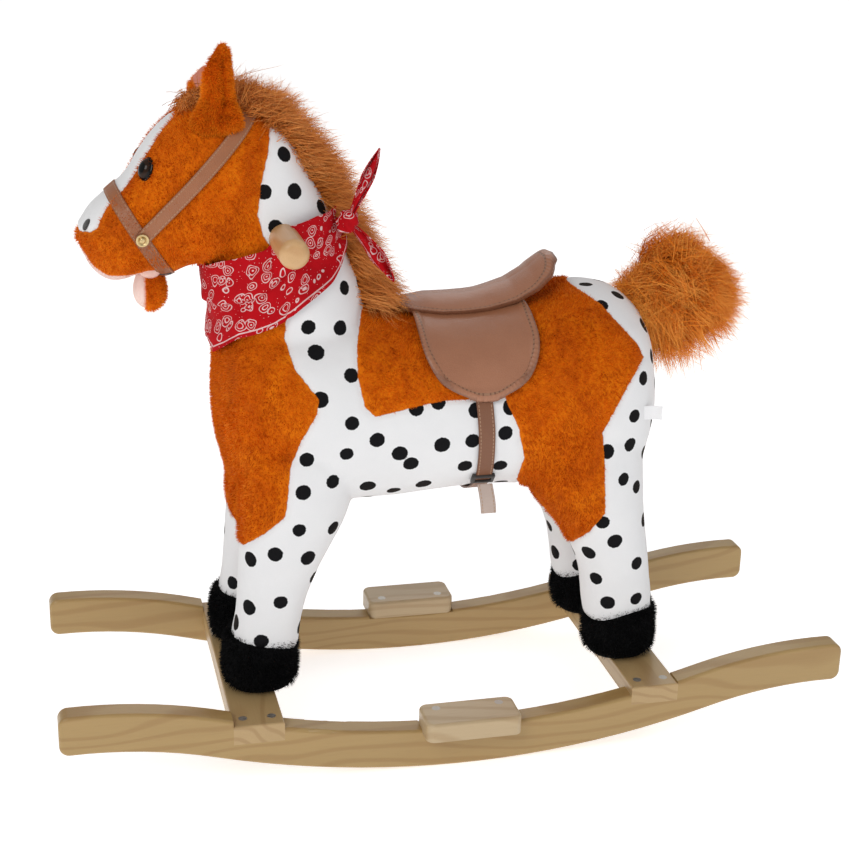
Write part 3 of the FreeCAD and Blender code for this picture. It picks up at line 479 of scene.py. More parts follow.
places, outward = corners(plush), normals(plush)
depth = orange_depth(places)
lumps = np.array([noise.noise(Vector(p) * 22) * 1.1 + noise.noise(Vector(p) * 60) * 0.45 for p in places])
creases = np.exp(-(depth / 2.2) ** 2) * 1.5
middle_seam = np.exp(-(places[:, 1] * 1000 / 1.8) ** 2) * 0.9
sockets = sum(hill(places, (-0.271, way * 0.041, 0.544), 0.013) for way in (-1, 1)) * 2.6
cheeks = sum(hill(places, (-0.300, way * 0.034, 0.484), 0.020) for way in (-1, 1)) * 2.5
places += outward * ((lumps - creases - middle_seam - sockets + cheeks) * 0.001)[:, None]
chin = hill(places, (-0.256, 0, 0.452), 0.017, (1, 0.6, 1)) * (outward[:, 2] < -0.2)
places[:, 2] -= chin * 0.0125
set_corners(plush, places)
smooth(plush, 180)
skin_tree = BVHTree.FromPolygons([v.co for v in plush.data.vertices],
                                 [tuple(p.vertices) for p in plush.data.polygons])


def on_skin(x, z, lift=0.0):
    """The point of the skin at a place of the side template, in mm, and the way out there."""
    way = (Vector((x, 0, z)) * 0.001 - camera_place).normalized()
    point, out, _, _ = skin_tree.ray_cast(camera_place, way)
    return (point + out * lift, out) if point else (None, None)


# Printed dots: those of the side template first, then the rest of the white spread evenly.
DOTS = [(-149, 548), (-124, 531), (-167, 515), (-140, 515), (-128, 390), (-121, 366), (-88, 342), (-117, 320),
        (-87, 295), (-63, 277), (-92, 265), (-105, 238), (-133, 229), (-137, 191), (-160, 168), (-184, 165),
        (-186, 115), (-26, 306), (-5, 311), (-41, 262), (-30, 251), (0, 268), (23, 245), (62, 276), (66, 302),
        (58, 243), (129, 427), (140, 429), (151, 398), (172, 415), (166, 250), (189, 256), (185, 220),
        (199, 211), (166, 175), (180, 154), (205, 128), (162, 115)]
DOT_SPACING, DOT_RADII = 0.0275, (0.0062, 0.0076)
NECK_FRONT_X = -0.238
depth = orange_depth(places)
dots = []
for x, z in DOTS:
    point, out = on_skin(x, z)
    if point:
        dots += [point, Vector((point.x + chance.uniform(-0.004, 0.004), -point.y, point.z))]
white = np.flatnonzero((depth < -6) & (places[:, 2] > 0.116))
chance.shuffle(white)
kept = np.array([tuple(d) for d in dots])
for n in white[:26000]:
    if ((kept - places[n]) ** 2).sum(1).min() > DOT_SPACING ** 2:
        kept = np.vstack([kept, places[n]])
radii = chance.uniform(*DOT_RADII, len(kept))
gap = np.full(len(places), 0.006)
for centre, radius in zip(kept, radii):
    near = np.flatnonzero(np.abs(places - centre).max(1) < 0.014)
    gap[near] = np.minimum(gap[near], np.linalg.norm(places[near] - centre, axis=1) - radius)
gap[places[:, 0] < NECK_FRONT_X] = 0.006
keep(plush, "dot_gap", gap * 1000)
keep(plush, "orange", depth)
lip_line = np.interp(places[:, 0] * 1000, (-327, -318, -306, -290, -270, -262),
                     (475, 461, 452.5, 452, 451, 440))
at_mouth = (outward[:, 2] < 0.1) & (places[:, 0] < -0.262) & (places[:, 2] > 0.435)
lip_line = np.where(at_mouth, lip_line - places[:, 2] * 1000, -9)
keep(plush, "lip", np.clip(lip_line, -9, 9))


def plush_colour(look, place, tones):
    """Brushed pile: lighter and darker strokes where the pile leans, over a fine fibre speckle."""
    strokes = look.cloud(look.mapped(place, scale=(1, 1, 0.6)), 26.0, 4.0, 0.6, 1.2)
    fine = look.cloud(place, 160.0, 4.0, 0.7)
    fibre = look.cloud(look.mapped(place, scale=(1, 1, 0.35)), 900.0, 3.0, 0.7)
    lean = strokes * 0.62 + fine * 0.26 + fibre * 0.24
    return look.ramp(lean, *tones), fine, fibre


ORANGE_TONES = ((0.34, (0.42, 0.062, 0.001)), (0.47, (0.57, 0.104, 0.001)), (0.58, (0.68, 0.145, 0.001)),
                (0.74, (0.80, 0.21, 0.003)))


def plush_look(name, sheen):
    """Plush: rough, with a warm bloom along its edges."""
    return Look(name, 0.85, Sheen_Weight=sheen, Sheen_Roughness=0.4, Sheen_Tint=(1, 0.6, 0.3, 1),
                Specular_IOR_Level=0.12)


skin_look = plush_look("plush_skin", 0.05)
skin_place = skin_look.place()
pile, fine, fibre = plush_colour(skin_look, skin_place, ORANGE_TONES)
nap = skin_look.cloud(skin_place, 1500.0, 2.0)
soft = skin_look.cloud(skin_place, 40.0, 3.0)
velboa = skin_look.mix(nap * 0.5 + soft * 0.5, (0.84, 0.84, 0.85, 1), (0.73, 0.735, 0.75, 1))
ragged = skin_look.cloud(skin_place, 420.0, 3.0)
dot = skin_look.step(skin_look.mark("dot_gap") + (ragged - 0.5) * 1.6, 0.35, -0.35)
ink = skin_look.mix(nap, (0.0025, 0.0025, 0.003, 1), (0.009, 0.009, 0.011, 1))
printed = skin_look.mix(dot, velboa, ink)
on_orange = skin_look.step(skin_look.mark("orange") + (fine - 0.5) * 3.0, -0.5, 0.5)
mouth = skin_look.step(skin_look.mark("lip") + (fine - 0.5) * 2.0, 0.0, 1.5)
mouth_pink = skin_look.mix(fine, (0.78, 0.50, 0.45, 1), (0.88, 0.74, 0.70, 1))
coloured = skin_look.mix(on_orange, printed, pile)
skin_look.feed(Base_Color=skin_look.mix(mouth, coloured, mouth_pink), Roughness=0.78 + fibre * 0.2,
               Normal=skin_look.bump(on_orange * (fine * 1.0 + fibre * 0.7) + nap * 0.12, 0.0016, 0.7))
dress(plush, skin_look)
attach(plush, "root")
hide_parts("torso", "neck", "head", "front_leg_left", "front_leg_right", "rear_leg_left",
            "rear_leg_right")

# ------------------------------------------------------------------ hooves
# Four cups of deep black plush sewn under the legs, flattened where they sit on the crossbars.

HOOF = [(62.5, -26, 27, 24), (66, -30, 31, 27), (74, -33.5, 34, 30), (88, -34, 34, 30), (102, -33, 34, 30),
        (112, -31, 33, 29), (116, -28, 30, 27)]


def pile_on(name, obj, count, length, width, chosen=None, droop=0.25, spread=0.6, darker_by=None):
    """Single tapered fibres standing on a mesh, combed down and back in tufts; the last argument is how much
    darker the fibres are coloured at each vertex, for painted shade with random patches."""
    mesh = obj.data
    mesh.calc_loop_triangles()
    corner = np.array([t.vertices[:] for t in mesh.loop_triangles])
    places, outward = corners(obj), normals(obj)
    if chosen is not None:
        corner = corner[chosen[corner].all(1)]
    a, b, c = places[corner[:, 0]], places[corner[:, 1]], places[corner[:, 2]]
    area = np.linalg.norm(np.cross(b - a, c - a), axis=1)
    pick = chance.choice(len(corner), count, p=area / area.sum())
    s, t = chance.random((2, count, 1))
    s, t = np.where(s + t > 1, 1 - s, s), np.where(s + t > 1, 1 - t, t)
    root = a[pick] + s * (b - a)[pick] + t * (c - a)[pick]
    out = outward[corner[pick, 0]]
    swirl = np.array([noise.noise_vector(Vector(r) * 34) + noise.noise_vector(Vector(r) * 110) * 0.7
                      for r in root])
    way = out + swirl * spread + (0.25 * droop, 0, -droop) + chance.normal(0, 0.13, (count, 3))
    way /= np.linalg.norm(way, axis=1)[:, None]
    lean = (way * out).sum(1)
    way += out * np.clip(0.35 - lean, 0, 1)[:, None]
    way /= np.linalg.norm(way, axis=1)[:, None]
    side = np.cross(way, chance.normal(0, 1, (count, 3)))
    side /= np.linalg.norm(side, axis=1)[:, None]
    tall = length * chance.uniform(0.6, 1.15, (count, 1))
    root = root - out * 0.0006
    points = np.stack([root - side * width / 2, root + side * width / 2, root + way * tall], 1).reshape(-1, 3)
    faces = np.arange(count * 3).reshape(-1, 3)
    mesh = bpy.data.meshes.new(name)
    mesh.from_pydata(points.tolist(), [], faces.tolist())
    lean_tone = 0.5 + swirl[:, 0] * 0.55 + swirl[:, 2] * 0.4 + chance.normal(0, 0.12, count)
    lean_tone = np.clip(lean_tone, 0.02, 0.98)
    # painted shade: the fibres' tone is lowered by the given darkening, which carries painted shade and
    # random patches
    if darker_by is not None:
        lean_tone = np.clip(lean_tone - darker_by[corner[pick, 0]], 0.02, 0.98)
    sheet = np.repeat(lean_tone, 3)
    up = np.tile((0.02, 0.02, 0.98), count)
    mesh.uv_layers.new(name="OFBake").data.foreach_set("uv", np.stack([sheet, up], 1).ravel())
    made = bpy.data.objects.new(name, mesh)
    bpy.context.scene.collection.objects.link(made)
    return made


def pile_look(name, dark, light, tip, Specular_IOR_Level=0.15):
    """Fibres coloured by how they lean, less any painted shade, u, and from root to tip, v."""
    look = Look(name, 0.8, Specular_IOR_Level=Specular_IOR_Level)
    u, v, _ = look.split(look.node("ShaderNodeUVMap", {"uv_map": "OFBake"}))
    body = look.mix(u, (*dark, 1), (*light, 1))
    look.feed(Base_Color=look.mix(v * 0.55, body, (*tip, 1)), Roughness=0.8 - v * 0.2)
    return look


hoof_look = Look("hoof_plush", 0.95, Specular_IOR_Level=0.08)
hoof_place = hoof_look.place()
clots = hoof_look.cloud(hoof_place, 190.0, 4.0, 0.7)
hoof_look.feed(Base_Color=hoof_look.mix(clots, (0.0012, 0.0012, 0.0014, 1), (0.006, 0.006, 0.0065, 1)),
               Normal=hoof_look.bump(clots, 0.003, 0.9))
hoof_pile_look = pile_look("hoof_pile", (0.0012, 0.0012, 0.0014), (0.005, 0.005, 0.0055),
                           (0.011, 0.011, 0.012), Specular_IOR_Level=0.08)
HOOF_SOLE = 0.0622
for end, x in (("front", SHOULDER), ("rear", HIP)):
    for side, y in (("left", -LEG_SIDE), ("right", LEG_SIDE)):
        cup = stuffed("hoof_" + end + "_" + side, "z", HOOF, y, tip=0.05)
        moved = corners(cup)
        moved[:, 0] += x
        set_corners(cup, moved)
        finish_with(cup, "REMESH", mode="VOXEL", voxel_size=0.003)
        finish_with(cup, "SMOOTH", factor=0.5, iterations=3)
        moved = corners(cup)
        moved[:, 2] = np.maximum(moved[:, 2], HOOF_SOLE)
        set_corners(cup, moved)
        smooth(cup, 180)
        dress(cup, hoof_look)
        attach(cup, "root")
        node = end + "_hoof_" + side
        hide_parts(node)
        fuzz = pile_on(cup.name + "_pile", cup, 9000, 0.0055, 0.0009, corners(cup)[:, 2] > 0.067)
        dress(fuzz, hoof_pile_look)
        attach(fuzz, "root")

# ------------------------------------------------------------------ pile of the orange plush
# The orange parts are a longer brushed pile than the printed velboa, so it stands up a few millimetres
# along every edge of the body.  Its fibres are painted darker towards the hips and down the legs as painted
# shade, over random darker patches, and it is left off round the jaw.

by_jaw = (np.abs(places - (-0.253, 0, 0.445)) < (0.032, 0.023, 0.022)).all(1)
patchy = np.array([noise.noise(Vector(p) * 9) for p in places])
# painted shade: the pile is coloured darker towards the rear and low on the body, where shade falls, plus
# random patches
painted_shade_and_patches = (np.interp(places[:, 0], (0.02, 0.10), (0, 0.14)) + np.interp(places[:, 2], (0.20, 0.30), (0.26, 0))
        + 0.10 * patchy)
skin_pile = pile_on("plush_skin_pile", plush, 120000, 0.0046, 0.0008,
                    (depth > 0.5) & (lip_line < -1) & ~by_jaw, darker_by=painted_shade_and_patches)
dress(skin_pile, pile_look("orange_pile", (0.50, 0.074, 0.001), (0.78, 0.178, 0.001), (0.84, 0.235, 0.004)))
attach(skin_pile, "root")

# ------------------------------------------------------------------ ears
# Two folded leaves of orange plush, gathered at the base and sewn to the poll.  The left one stands, with
# the switch inside; the right one leans outwards.

EAR = [(577, -231, -191, 11), (583, -232, -190, 13), (590, -229, -193, 12), (600, -223, -198, 11),
       (608, -222, -199, 10), (621, -221, -199, 9.5), (629, -220, -200, 8.5), (636, -216, -200, 7.5),
       (643, -212, -201, 6), (647, -209, -204, 3.5)]
ear_look = plush_look("ear_plush", 0.08)
ear_place = ear_look.place()
ear_pile, ear_fine, ear_fibre = plush_colour(ear_look, ear_place, ORANGE_TONES)
lining = ear_look.mix(ear_fine, (0.62, 0.16, 0.11, 1), (0.80, 0.34, 0.25, 1))
ear_look.feed(Base_Color=ear_look.mix(ear_look.step(ear_look.mark("lining"), 0.35, 0.65), ear_pile, lining),
              Roughness=0.78 + ear_fibre * 0.2, Normal=ear_look.bump(ear_fine + ear_fibre * 0.7, 0.0016, 0.7))
EAR_SIDE = 36
ear_pile_look = pile_look("ear_pile", (0.62, 0.110, 0.001), (0.90, 0.24, 0.003), (0.95, 0.32, 0.010))
for side, way in (("left", -1), ("right", 1)):
    ear = stuffed("ear_" + side, "z", EAR, way * EAR_SIDE)
    finish_with(ear, "REMESH", mode="VOXEL", voxel_size=0.0014)
    ear_places = corners(ear)
    x, y, z = ear_places.T * 1000
    # the open fold runs up the inner side, and a crease up the other
    fold_x = np.interp(z, (575, 600, 625, 645), (-214, -211, -213, -209))
    valley = np.exp(-((x - fold_x) / 6.5) ** 2) * np.clip((z - 578) / 10, 0, 1) * np.clip((650 - z) / 8, 0, 1)
    facing = (y - way * EAR_SIDE) * way < 0
    crease = np.exp(-((x - fold_x - 5) / 2.2) ** 2) * np.clip((z - 590) / 20, 0, 1)
    ear_places[:, 1] += way * 0.001 * (valley * 3 * facing - crease * 1.4 * ~facing)
    set_corners(ear, ear_places)
    finish_with(ear, "SMOOTH", factor=0.5, iterations=4)
    keep(ear, "lining", valley * facing)
    if way > 0:
        hinge = Vector((0, 0.040, 0.574))
        ear.data.transform(Matrix.Translation(hinge) @ Matrix.Rotation(math.radians(-62), 4, "X")
                           @ Matrix.Translation(-Vector((0, 0.036, 0.574))))
    smooth(ear, 180)
    dress(ear, ear_look)
    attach(ear, "root")
    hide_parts("ear_" + side)
    fuzz = pile_on(ear.name + "_pile", ear, 14000, 0.0048, 0.0007, valley * facing < 0.3)
    dress(fuzz, ear_pile_look)
    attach(fuzz, "root")

# ------------------------------------------------------------------ mane, forelock and tail
# Long curled pile, ginger at the tips and chestnut at the roots, the dark roots being painted shade inside
# the hair: a strip sewn down the crest, a tuft between the ears, and a ball on the tail's arm, with its
# stuffed core coloured dark brown as painted shade deep in the hair.


def locks(name, roots, ways, count, length, width, droop, per_lock=26, gather=0.7, curl=0.16, scatter=0.006,
          fall=(0.3, 0, -1), vary=(0.55, 1.15)):
    """Tapered fibres in curling locks.  Each lock starts at one root, with one way out, and curls on its
    own.  A fibre is three strips and a tip: u is its shade, close to its lock's, and v runs up it."""
    locks_made = count // per_lock
    pick = chance.integers(0, len(roots), locks_made)
    start, way = roots[pick], ways[pick] + chance.normal(0, 0.22, (locks_made, 3))
    way /= np.linalg.norm(way, axis=1)[:, None]
    bend = np.cross(way, chance.normal(0, 1, (locks_made, 3)))
    bend /= np.linalg.norm(bend, axis=1)[:, None]
    phase, tall = chance.uniform(0, 6.28, (locks_made, 1)), length * chance.uniform(*vary, (locks_made, 1))
    tone = chance.uniform(0.1, 0.9, locks_made)
    own = np.repeat(np.arange(locks_made), per_lock)
    total = len(own)
    shift = chance.normal(0, scatter, (total, 3))
    stray = chance.normal(0, 0.22, (total, 3))
    reach = tall[own] * chance.uniform(0.7, 1.08, (total, 1))
    fall = np.array(fall) / np.linalg.norm(fall)
    levels = (0.0, 0.3, 0.6, 0.85, 1.0)
    line = []
    for s in levels:
        spine = start[own] + way[own] * reach * s + fall * reach * droop * s * s
        spine = spine + bend[own] * reach * curl * np.sin(phase[own] + s * 3.6)
        line.append(spine + shift * (1 - gather * s) + stray * reach * s * (1 - gather * 0.75))
    side = np.cross(line[2] - line[0], chance.normal(0, 1, (total, 3)))
    side /= np.linalg.norm(side, axis=1)[:, None]
    strips = []
    for s, centre in zip(levels[:-1], line[:-1]):
        half = side * width / 2 * (1 - s) ** 0.6
        strips += [centre - half, centre + half]
    points = np.stack(strips + [line[-1]], 1).reshape(-1, 3)
    base = np.arange(total)[:, None] * 9
    quads = np.concatenate([base + np.array(q) for q in ((0, 1, 3, 2), (2, 3, 5, 4), (4, 5, 7, 6))])
    ends = base + np.array((6, 7, 8))
    mesh = bpy.data.meshes.new(name)
    mesh.from_pydata(points.tolist(), [], quads.tolist() + ends.tolist())
    u = np.clip(tone[own] + chance.normal(0, 0.10, total), 0.02, 0.98)
    v = np.array([0, 0, 0.3, 0.3, 0.6, 0.6, 0.85, 0.85, 1.0]) * 0.96 + 0.02
    loops = np.empty(len(mesh.loops), int)
    mesh.loops.foreach_get("vertex_index", loops)
    shade = np.stack([u[loops // 9], v[loops % 9]], 1)
    mesh.uv_layers.new(name="OFBake").data.foreach_set("uv", shade.ravel())
    made = bpy.data.objects.new(name, mesh)
    bpy.context.scene.collection.objects.link(made)
    return made


def hair_look(name, root, middle, tip):
    """Crimped acrylic fibre: dark at the root as painted shade inside the hair, lighter and drier at the tip,
    each lock its own tint.
    """
    look = Look(name, 0.65, Specular_IOR_Level=0.18)
    u, v, _ = look.split(look.node("ShaderNodeUVMap", {"uv_map": "OFBake"}))
    shade = look.ramp(v * 0.62 + u * 0.38, (0.05, root), (0.42, middle), (0.92, tip))
    look.feed(Base_Color=look.mix(u * 0.35, shade, (*middle, 1)), Roughness=0.7 - u * 0.15)
    return look


# painted shade: the dark root colours stand for the shade deep inside the mane and tail
hair = hair_look("mane_hair", (0.26, 0.055, 0.005), (0.60, 0.18, 0.024), (0.94, 0.44, 0.14))
tail_look = hair_look("tail_hair", (0.40, 0.085, 0.003), (0.80, 0.22, 0.010), (0.98, 0.50, 0.11))
# painted shade: the mane and tail cores are coloured dark brown to stand for the shade deep inside the hair
core_look = Look("hair_core", 0.95, Specular_IOR_Level=0.1)
core_shade = core_look.cloud(core_look.place(), 140.0, 4.0)
core_look.feed(Base_Color=core_look.mix(core_shade, (0.10, 0.018, 0.003, 1), (0.28, 0.06, 0.008, 1)),
               Normal=core_look.bump(core_shade, 0.003, 0.8))

CREST = [(-213, 588, -0.10, 1.0), (-200, 590, 0.10, 1.0), (-180, 586, 0.35, 1.0), (-163, 575, 0.7, 0.8),
         (-148, 558, 0.9, 0.55), (-136, 541, 1.0, 0.45), (-125, 521, 1.0, 0.30), (-114, 500, 1.0, 0.15),
         (-105, 478, 1.0, 0.0), (-95, 456, 1.0, -0.1), (-86, 434, 0.9, -0.15), (-74, 419, 0.8, 0.0)]


def along_crest(line, samples, half, flare):
    """Root points over a strip along a line of X, Z and the way out there, fanned to both sides."""
    line = np.array(line, float)
    reach = np.concatenate([[0], np.cumsum(np.hypot(*np.diff(line[:, :2], axis=0).T))])
    at = chance.uniform(0, reach[-1], samples)
    x, z, out_x, out_z = (np.interp(at, reach, line[:, n]) for n in range(4))
    share = chance.uniform(-1, 1, samples)
    roots = np.stack([x, share * half, z], 1) * 0.001
    ways = np.stack([out_x, share * flare, out_z], 1)
    return roots, ways / np.linalg.norm(ways, axis=1)[:, None]


mane_roots, mane_ways = along_crest(CREST, 4000, 12, 0.75)
mane_roots -= mane_ways * 0.003
manes = [locks("mane_%d" % n, mane_roots, mane_ways, 26000, 0.032, 0.0008, 0.30, gather=0.6, curl=0.30,
               fall=(0.7, 0, -0.8), vary=(0.35, 1.3)) for n in range(2)]
mane_core = stuffed("mane_core", "z", [(418, -86, -69, 8), (440, -97, -79, 13), (470, -108, -90, 16),
                                       (500, -121, -101, 17), (530, -139, -115, 17), (560, -164, -136, 17),
                                       (580, -194, -156, 17), (591, -212, -176, 13), (596, -205, -184, 8)])
BETWEEN_EARS = [(-232, 588, -0.2, 0.9), (-223, 591, 0.1, 1.0), (-212, 593, 0.2, 1.0)]
forelock_roots, forelock_ways = along_crest(BETWEEN_EARS, 900, 11, 0.6)
forelock = locks("forelock", forelock_roots, forelock_ways, 4500, 0.014, 0.0007, 0.3, curl=0.25,
                 fall=(-0.3, 0, -1))

TAIL = [(195, 390, 410, 10), (204, 381, 434, 21), (216, 375, 448, 26), (227, 376, 446, 26),
        (237, 386, 436, 19), (243, 398, 420, 10)]
tail_core = stuffed("tail_core", "x", TAIL)
tail_places, tail_out = corners(tail_core), normals(tail_core)
tail_ways = tail_out * (0.5, 1, 1) + (0.3, 0, 0.12)
tail_ways /= np.linalg.norm(tail_ways, axis=1)[:, None]
tail_roots = tail_places - tail_out * 0.004
tails = [locks("tail_%d" % n, tail_roots, tail_ways, 28000, 0.035, 0.0008, 0.30, curl=0.40, gather=0.72,
               scatter=0.007, fall=(0.3, 0, -1), vary=(0.3, 1.35)) for n in range(2)]
for piece, look, body, nodes, slot in (
        (manes[0], hair, "root", ("mane",), "mane_hair"), (manes[1], hair, "root", (), "mane_hair"),
        (mane_core, core_look, "root", (), "mane_hair"), (forelock, hair, "root", ("forelock",), "mane_hair"),
        (tails[0], tail_look, "tail", ("tail_hair",), "tail_hair"),
        (tails[1], tail_look, "tail", (), "tail_hair"), (tail_core, core_look, "tail", (), "tail_hair")):
    dress(piece, look)
    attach(piece, body)
    if nodes:
        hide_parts(*nodes)
for piece in (mane_core, tail_core):
    smooth(piece, 180)

# ------------------------------------------------------------------ jaw
# The lower lip is a small stuffed flap on the jaw motor's arm: orange plush outside, pale pink velour on
# the side that closes against the muzzle, joined by a seam.

JAW = [(452, -276, -260, 13), (446, -280, -258, 16), (438, -283, -256, 18.5), (430, -284, -255.5, 19.5),
       (422, -282.5, -256.5, 18), (417, -277, -262, 11)]
jaw = stuffed("jaw_flap", "z", JAW, rounds=3)
jaw_places, jaw_out = corners(jaw), normals(jaw)
JAW_SEAM_X = -274.5
seam = np.exp(-((jaw_places[:, 0] * 1000 - JAW_SEAM_X) / 1.4) ** 2) * 0.0011
set_corners(jaw, jaw_places - jaw_out * seam[:, None])
keep(jaw, "lining", np.clip(0.5 - (jaw_places[:, 0] * 1000 - JAW_SEAM_X) / 2, 0, 1))
smooth(jaw, 180)
jaw_look = plush_look("jaw_plush", 0.08)
jaw_pile, jaw_fine, jaw_fibre = plush_colour(jaw_look, jaw_look.place(), ORANGE_TONES)
jaw_pink = jaw_look.mix(jaw_fine, (0.84, 0.56, 0.49, 1), (0.92, 0.78, 0.72, 1))
jaw_look.feed(Base_Color=jaw_look.mix(jaw_look.mark("lining"), jaw_pile, jaw_pink),
              Roughness=0.8 + jaw_fibre * 0.15, Normal=jaw_look.bump(jaw_fine + jaw_fibre * 0.6, 0.0012, 0.7))
dress(jaw, jaw_look)
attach(jaw, "jaw")
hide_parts("jaw_pad")
jaw_fuzz = pile_on("jaw_flap_pile", jaw, 4200, 0.0042, 0.0007, jaw_places[:, 0] > -0.2735)
dress(jaw_fuzz, ear_pile_look)
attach(jaw_fuzz, "jaw")


def turned(name, profile, segments=40):
    """A turned piece: a profile of radius and height, in mm, spun about Z."""
    bpy.ops.object.select_all(action="DESELECT")
    bpy.ops.mesh.primitive_circle_add(vertices=segments, radius=profile[0][0] * 0.001, fill_type="NGON",
                                      location=(0, 0, profile[0][1] * 0.001))
    made = bpy.context.object
    made.name = name
    bpy.ops.object.transform_apply(location=True)
    work_on(made, "EDIT")
    bpy.ops.mesh.select_all(action="SELECT")
    for (radius, height), (wider, higher) in zip(profile, profile[1:]):
        bpy.ops.mesh.extrude_region_move(TRANSFORM_OT_translate={"value": (0, 0, (higher - height) * 0.001)})
        bpy.ops.transform.resize(value=(wider / radius, wider / radius, 1),
                                 center_override=(0, 0, higher * 0.001))
    bpy.ops.mesh.select_all(action="SELECT")
    bpy.ops.mesh.normals_make_consistent(inside=False)
    bpy.ops.object.mode_set(mode="OBJECT")
    return made


LIP = [(2, -19.5), (7, -19), (10, -16), (10.6, -8), (10.8, 0), (10.6, 8), (10, 16), (7, 19), (2, 19.5)]
lip = turned("lip_roll", LIP, 32)
lip.data.transform(Matrix.Translation((-0.269, 0, 0.4545)) @ Matrix.Rotation(math.pi / 2, 4, "X"))
finish_with(lip, "SUBSURF", levels=1, render_levels=1)
smooth(lip, 180)
lip_look = Look("lip_velour", 0.85, Sheen_Weight=0.3)
lip_shade = lip_look.cloud(lip_look.place(), 160.0, 4.0)
lip_look.feed(Base_Color=lip_look.mix(lip_shade, (0.80, 0.46, 0.38, 1), (0.90, 0.68, 0.60, 1)),
              Normal=lip_look.bump(lip_shade, 0.001, 0.7))
dress(lip, lip_look)
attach(lip, "root")

# ------------------------------------------------------------------ eyes and nostrils
# Moulded plastic safety eyes, dark brown with a black pupil under a hard gloss, each on a shallow rim;
# the nostrils are ovals of black satin stitch.


def stood_at(obj, point, out, spin=0.0):
    """Move a piece modelled along Z to a point, facing a way."""
    turn = Vector(out).to_track_quat("Z", "Y").to_matrix().to_4x4()
    obj.data.transform(Matrix.Translation(point) @ turn @ Matrix.Rotation(spin, 4, "Z"))
    return obj


def joined(name, pieces):
    """One piece of several meshes."""
    work_on(pieces[0])
    for piece in pieces:
        piece.select_set(True)
    bpy.ops.object.join()
    bpy.context.object.name = name
    return bpy.context.object


eye_look = Look("eye_plastic", 0.08, Specular_IOR_Level=0.22)
iris = eye_look.mark("iris")
rays = eye_look.cloud(eye_look.place(), 900.0, 3.0)
ring = eye_look.step(iris + (rays - 0.5) * 0.12, 0.52, 0.60) * eye_look.step(iris, 0.97, 0.86)
eye_look.feed(Base_Color=eye_look.mix(ring, (0.0015, 0.0015, 0.0015, 1), (0.022, 0.008, 0.003, 1)),
              Roughness=0.08 + rays * 0.05)
EYE_X, EYE_Z, EYE_DOME = -0.2712, 0.5435, 0.0082
eyes = []
for way in (-1, 1):
    eye = turned("eye", [(9.6, -1.5), (9.8, 0.0), (9.2, 0.6), (8.5, 0.7), (8.2, 1.4), (7.4, 2.8), (6.1, 4.0),
                         (4.5, 4.9), (2.6, 5.5), (0.9, 5.7)])
    finish_with(eye, "SUBSURF", levels=1, render_levels=1)
    keep(eye, "iris", np.hypot(*corners(eye)[:, :2].T) / EYE_DOME)
    eye.data.transform(Matrix.Diagonal((0.86, 1.12, 1, 1)))
    point, out, _, _ = skin_tree.ray_cast(Vector((EYE_X, way * 0.3, EYE_Z)), Vector((0, -way, 0)))
    eyes.append(stood_at(eye, point, (out + Vector((-0.25, 0, 0.05))).normalized()))
eyes = joined("eyes_glossy", eyes)
smooth(eyes, 50)
dress(eyes, eye_look)
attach(eyes, "root")
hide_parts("eyes")

thread_look = Look("nostril_thread", 0.45, Sheen_Weight=0.3)
twist = thread_look.node("ShaderNodeTexWave", {"bands_direction": "DIAGONAL"},
                         {"Vector": thread_look.place(), "Scale": 420.0, "Distortion": 1.5})
thread_look.feed(Base_Color=thread_look.mix(twist, (0.006, 0.005, 0.005, 1), (0.035, 0.028, 0.026, 1)),
                 Normal=thread_look.bump(twist, 0.0006, 0.9))
nostrils = []
point, out = on_skin(-321, 491)
for way in (-1, 1):
    pad = turned("nostril", [(5.2, -1.2), (5.3, 0.1), (4.6, 0.9), (3.2, 1.2), (1.2, 1.3)], 28)
    pad.data.transform(Matrix.Diagonal((0.72, 1.15, 1, 1)))
    nostrils.append(stood_at(pad, (point.x, -way * point.y, point.z), (out.x, -way * out.y, out.z),
                             way * 0.5))
nostrils = joined("nostrils", nostrils)
finish_with(nostrils, "SUBSURF", levels=1, render_levels=1)
smooth(nostrils, 60)
dress(nostrils, thread_look)
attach(nostrils, "root")

# ------------------------------------------------------------------ bridle
# Flat straps of tan leatherette with a stitched edge: a noseband right round the muzzle and a cheek strap
# over the poll, held on each side by a brass eyelet rivet.


def draped(name, columns, rows, put):
    """A grid whose corners run -1 to 1 both ways, each put in place by its own two numbers."""
    bpy.ops.object.select_all(action="DESELECT")
    bpy.ops.mesh.primitive_grid_add(x_subdivisions=columns, y_subdivisions=rows, size=2)
    made = bpy.context.object
    made.name = name
    for vertex in made.data.vertices:
        vertex.co = put(vertex.co.x, vertex.co.y)
    return made


def thickened(obj, thick, offset=1, bevel=0.0):
    """Give a draped grid its thickness outwards, rounded at the rim."""
    work_on(obj, "EDIT")
    bpy.ops.mesh.select_all(action="SELECT")
    bpy.ops.mesh.remove_doubles(threshold=0.00001)
    bpy.ops.object.mode_set(mode="OBJECT")
    finish_with(obj, "SOLIDIFY", thickness=thick, offset=offset, use_even_offset=False)
    if bevel:
        finish_with(obj, "BEVEL", width=bevel, segments=2, limit_method="ANGLE", angle_limit=math.radians(50))
    return smooth(obj, 50)


def wrapped(name, centre, slope, start, end, width, lift, columns=90, thick=0.0016):
    """A strap laid on the skin, in the upright plane through a centre that rises at a slope.  Start and end
    are turns about the centre, in degrees, from the plane's upper end towards the horse's left."""
    centre = Vector(centre) * 0.001
    rise = Vector((math.cos(math.radians(slope)), 0, math.sin(math.radians(slope))))
    across = Vector((-rise.z, 0, rise.x))

    def put(u, v):
        angle = math.radians(start + (end - start) * (u + 1) / 2)
        way = rise * math.cos(angle) - Vector((0, 1, 0)) * math.sin(angle)
        point, out, _, _ = skin_tree.ray_cast(centre + across * v * width * 0.0005, way)
        flat_out = (out - across * out.dot(across)).normalized()
        return point + (flat_out * 0.7 + out * 0.3) * lift

    strap = draped(name, columns, 4, put)
    finish_with(strap, "SMOOTH", factor=0.5, iterations=2, use_x=True)
    return strap


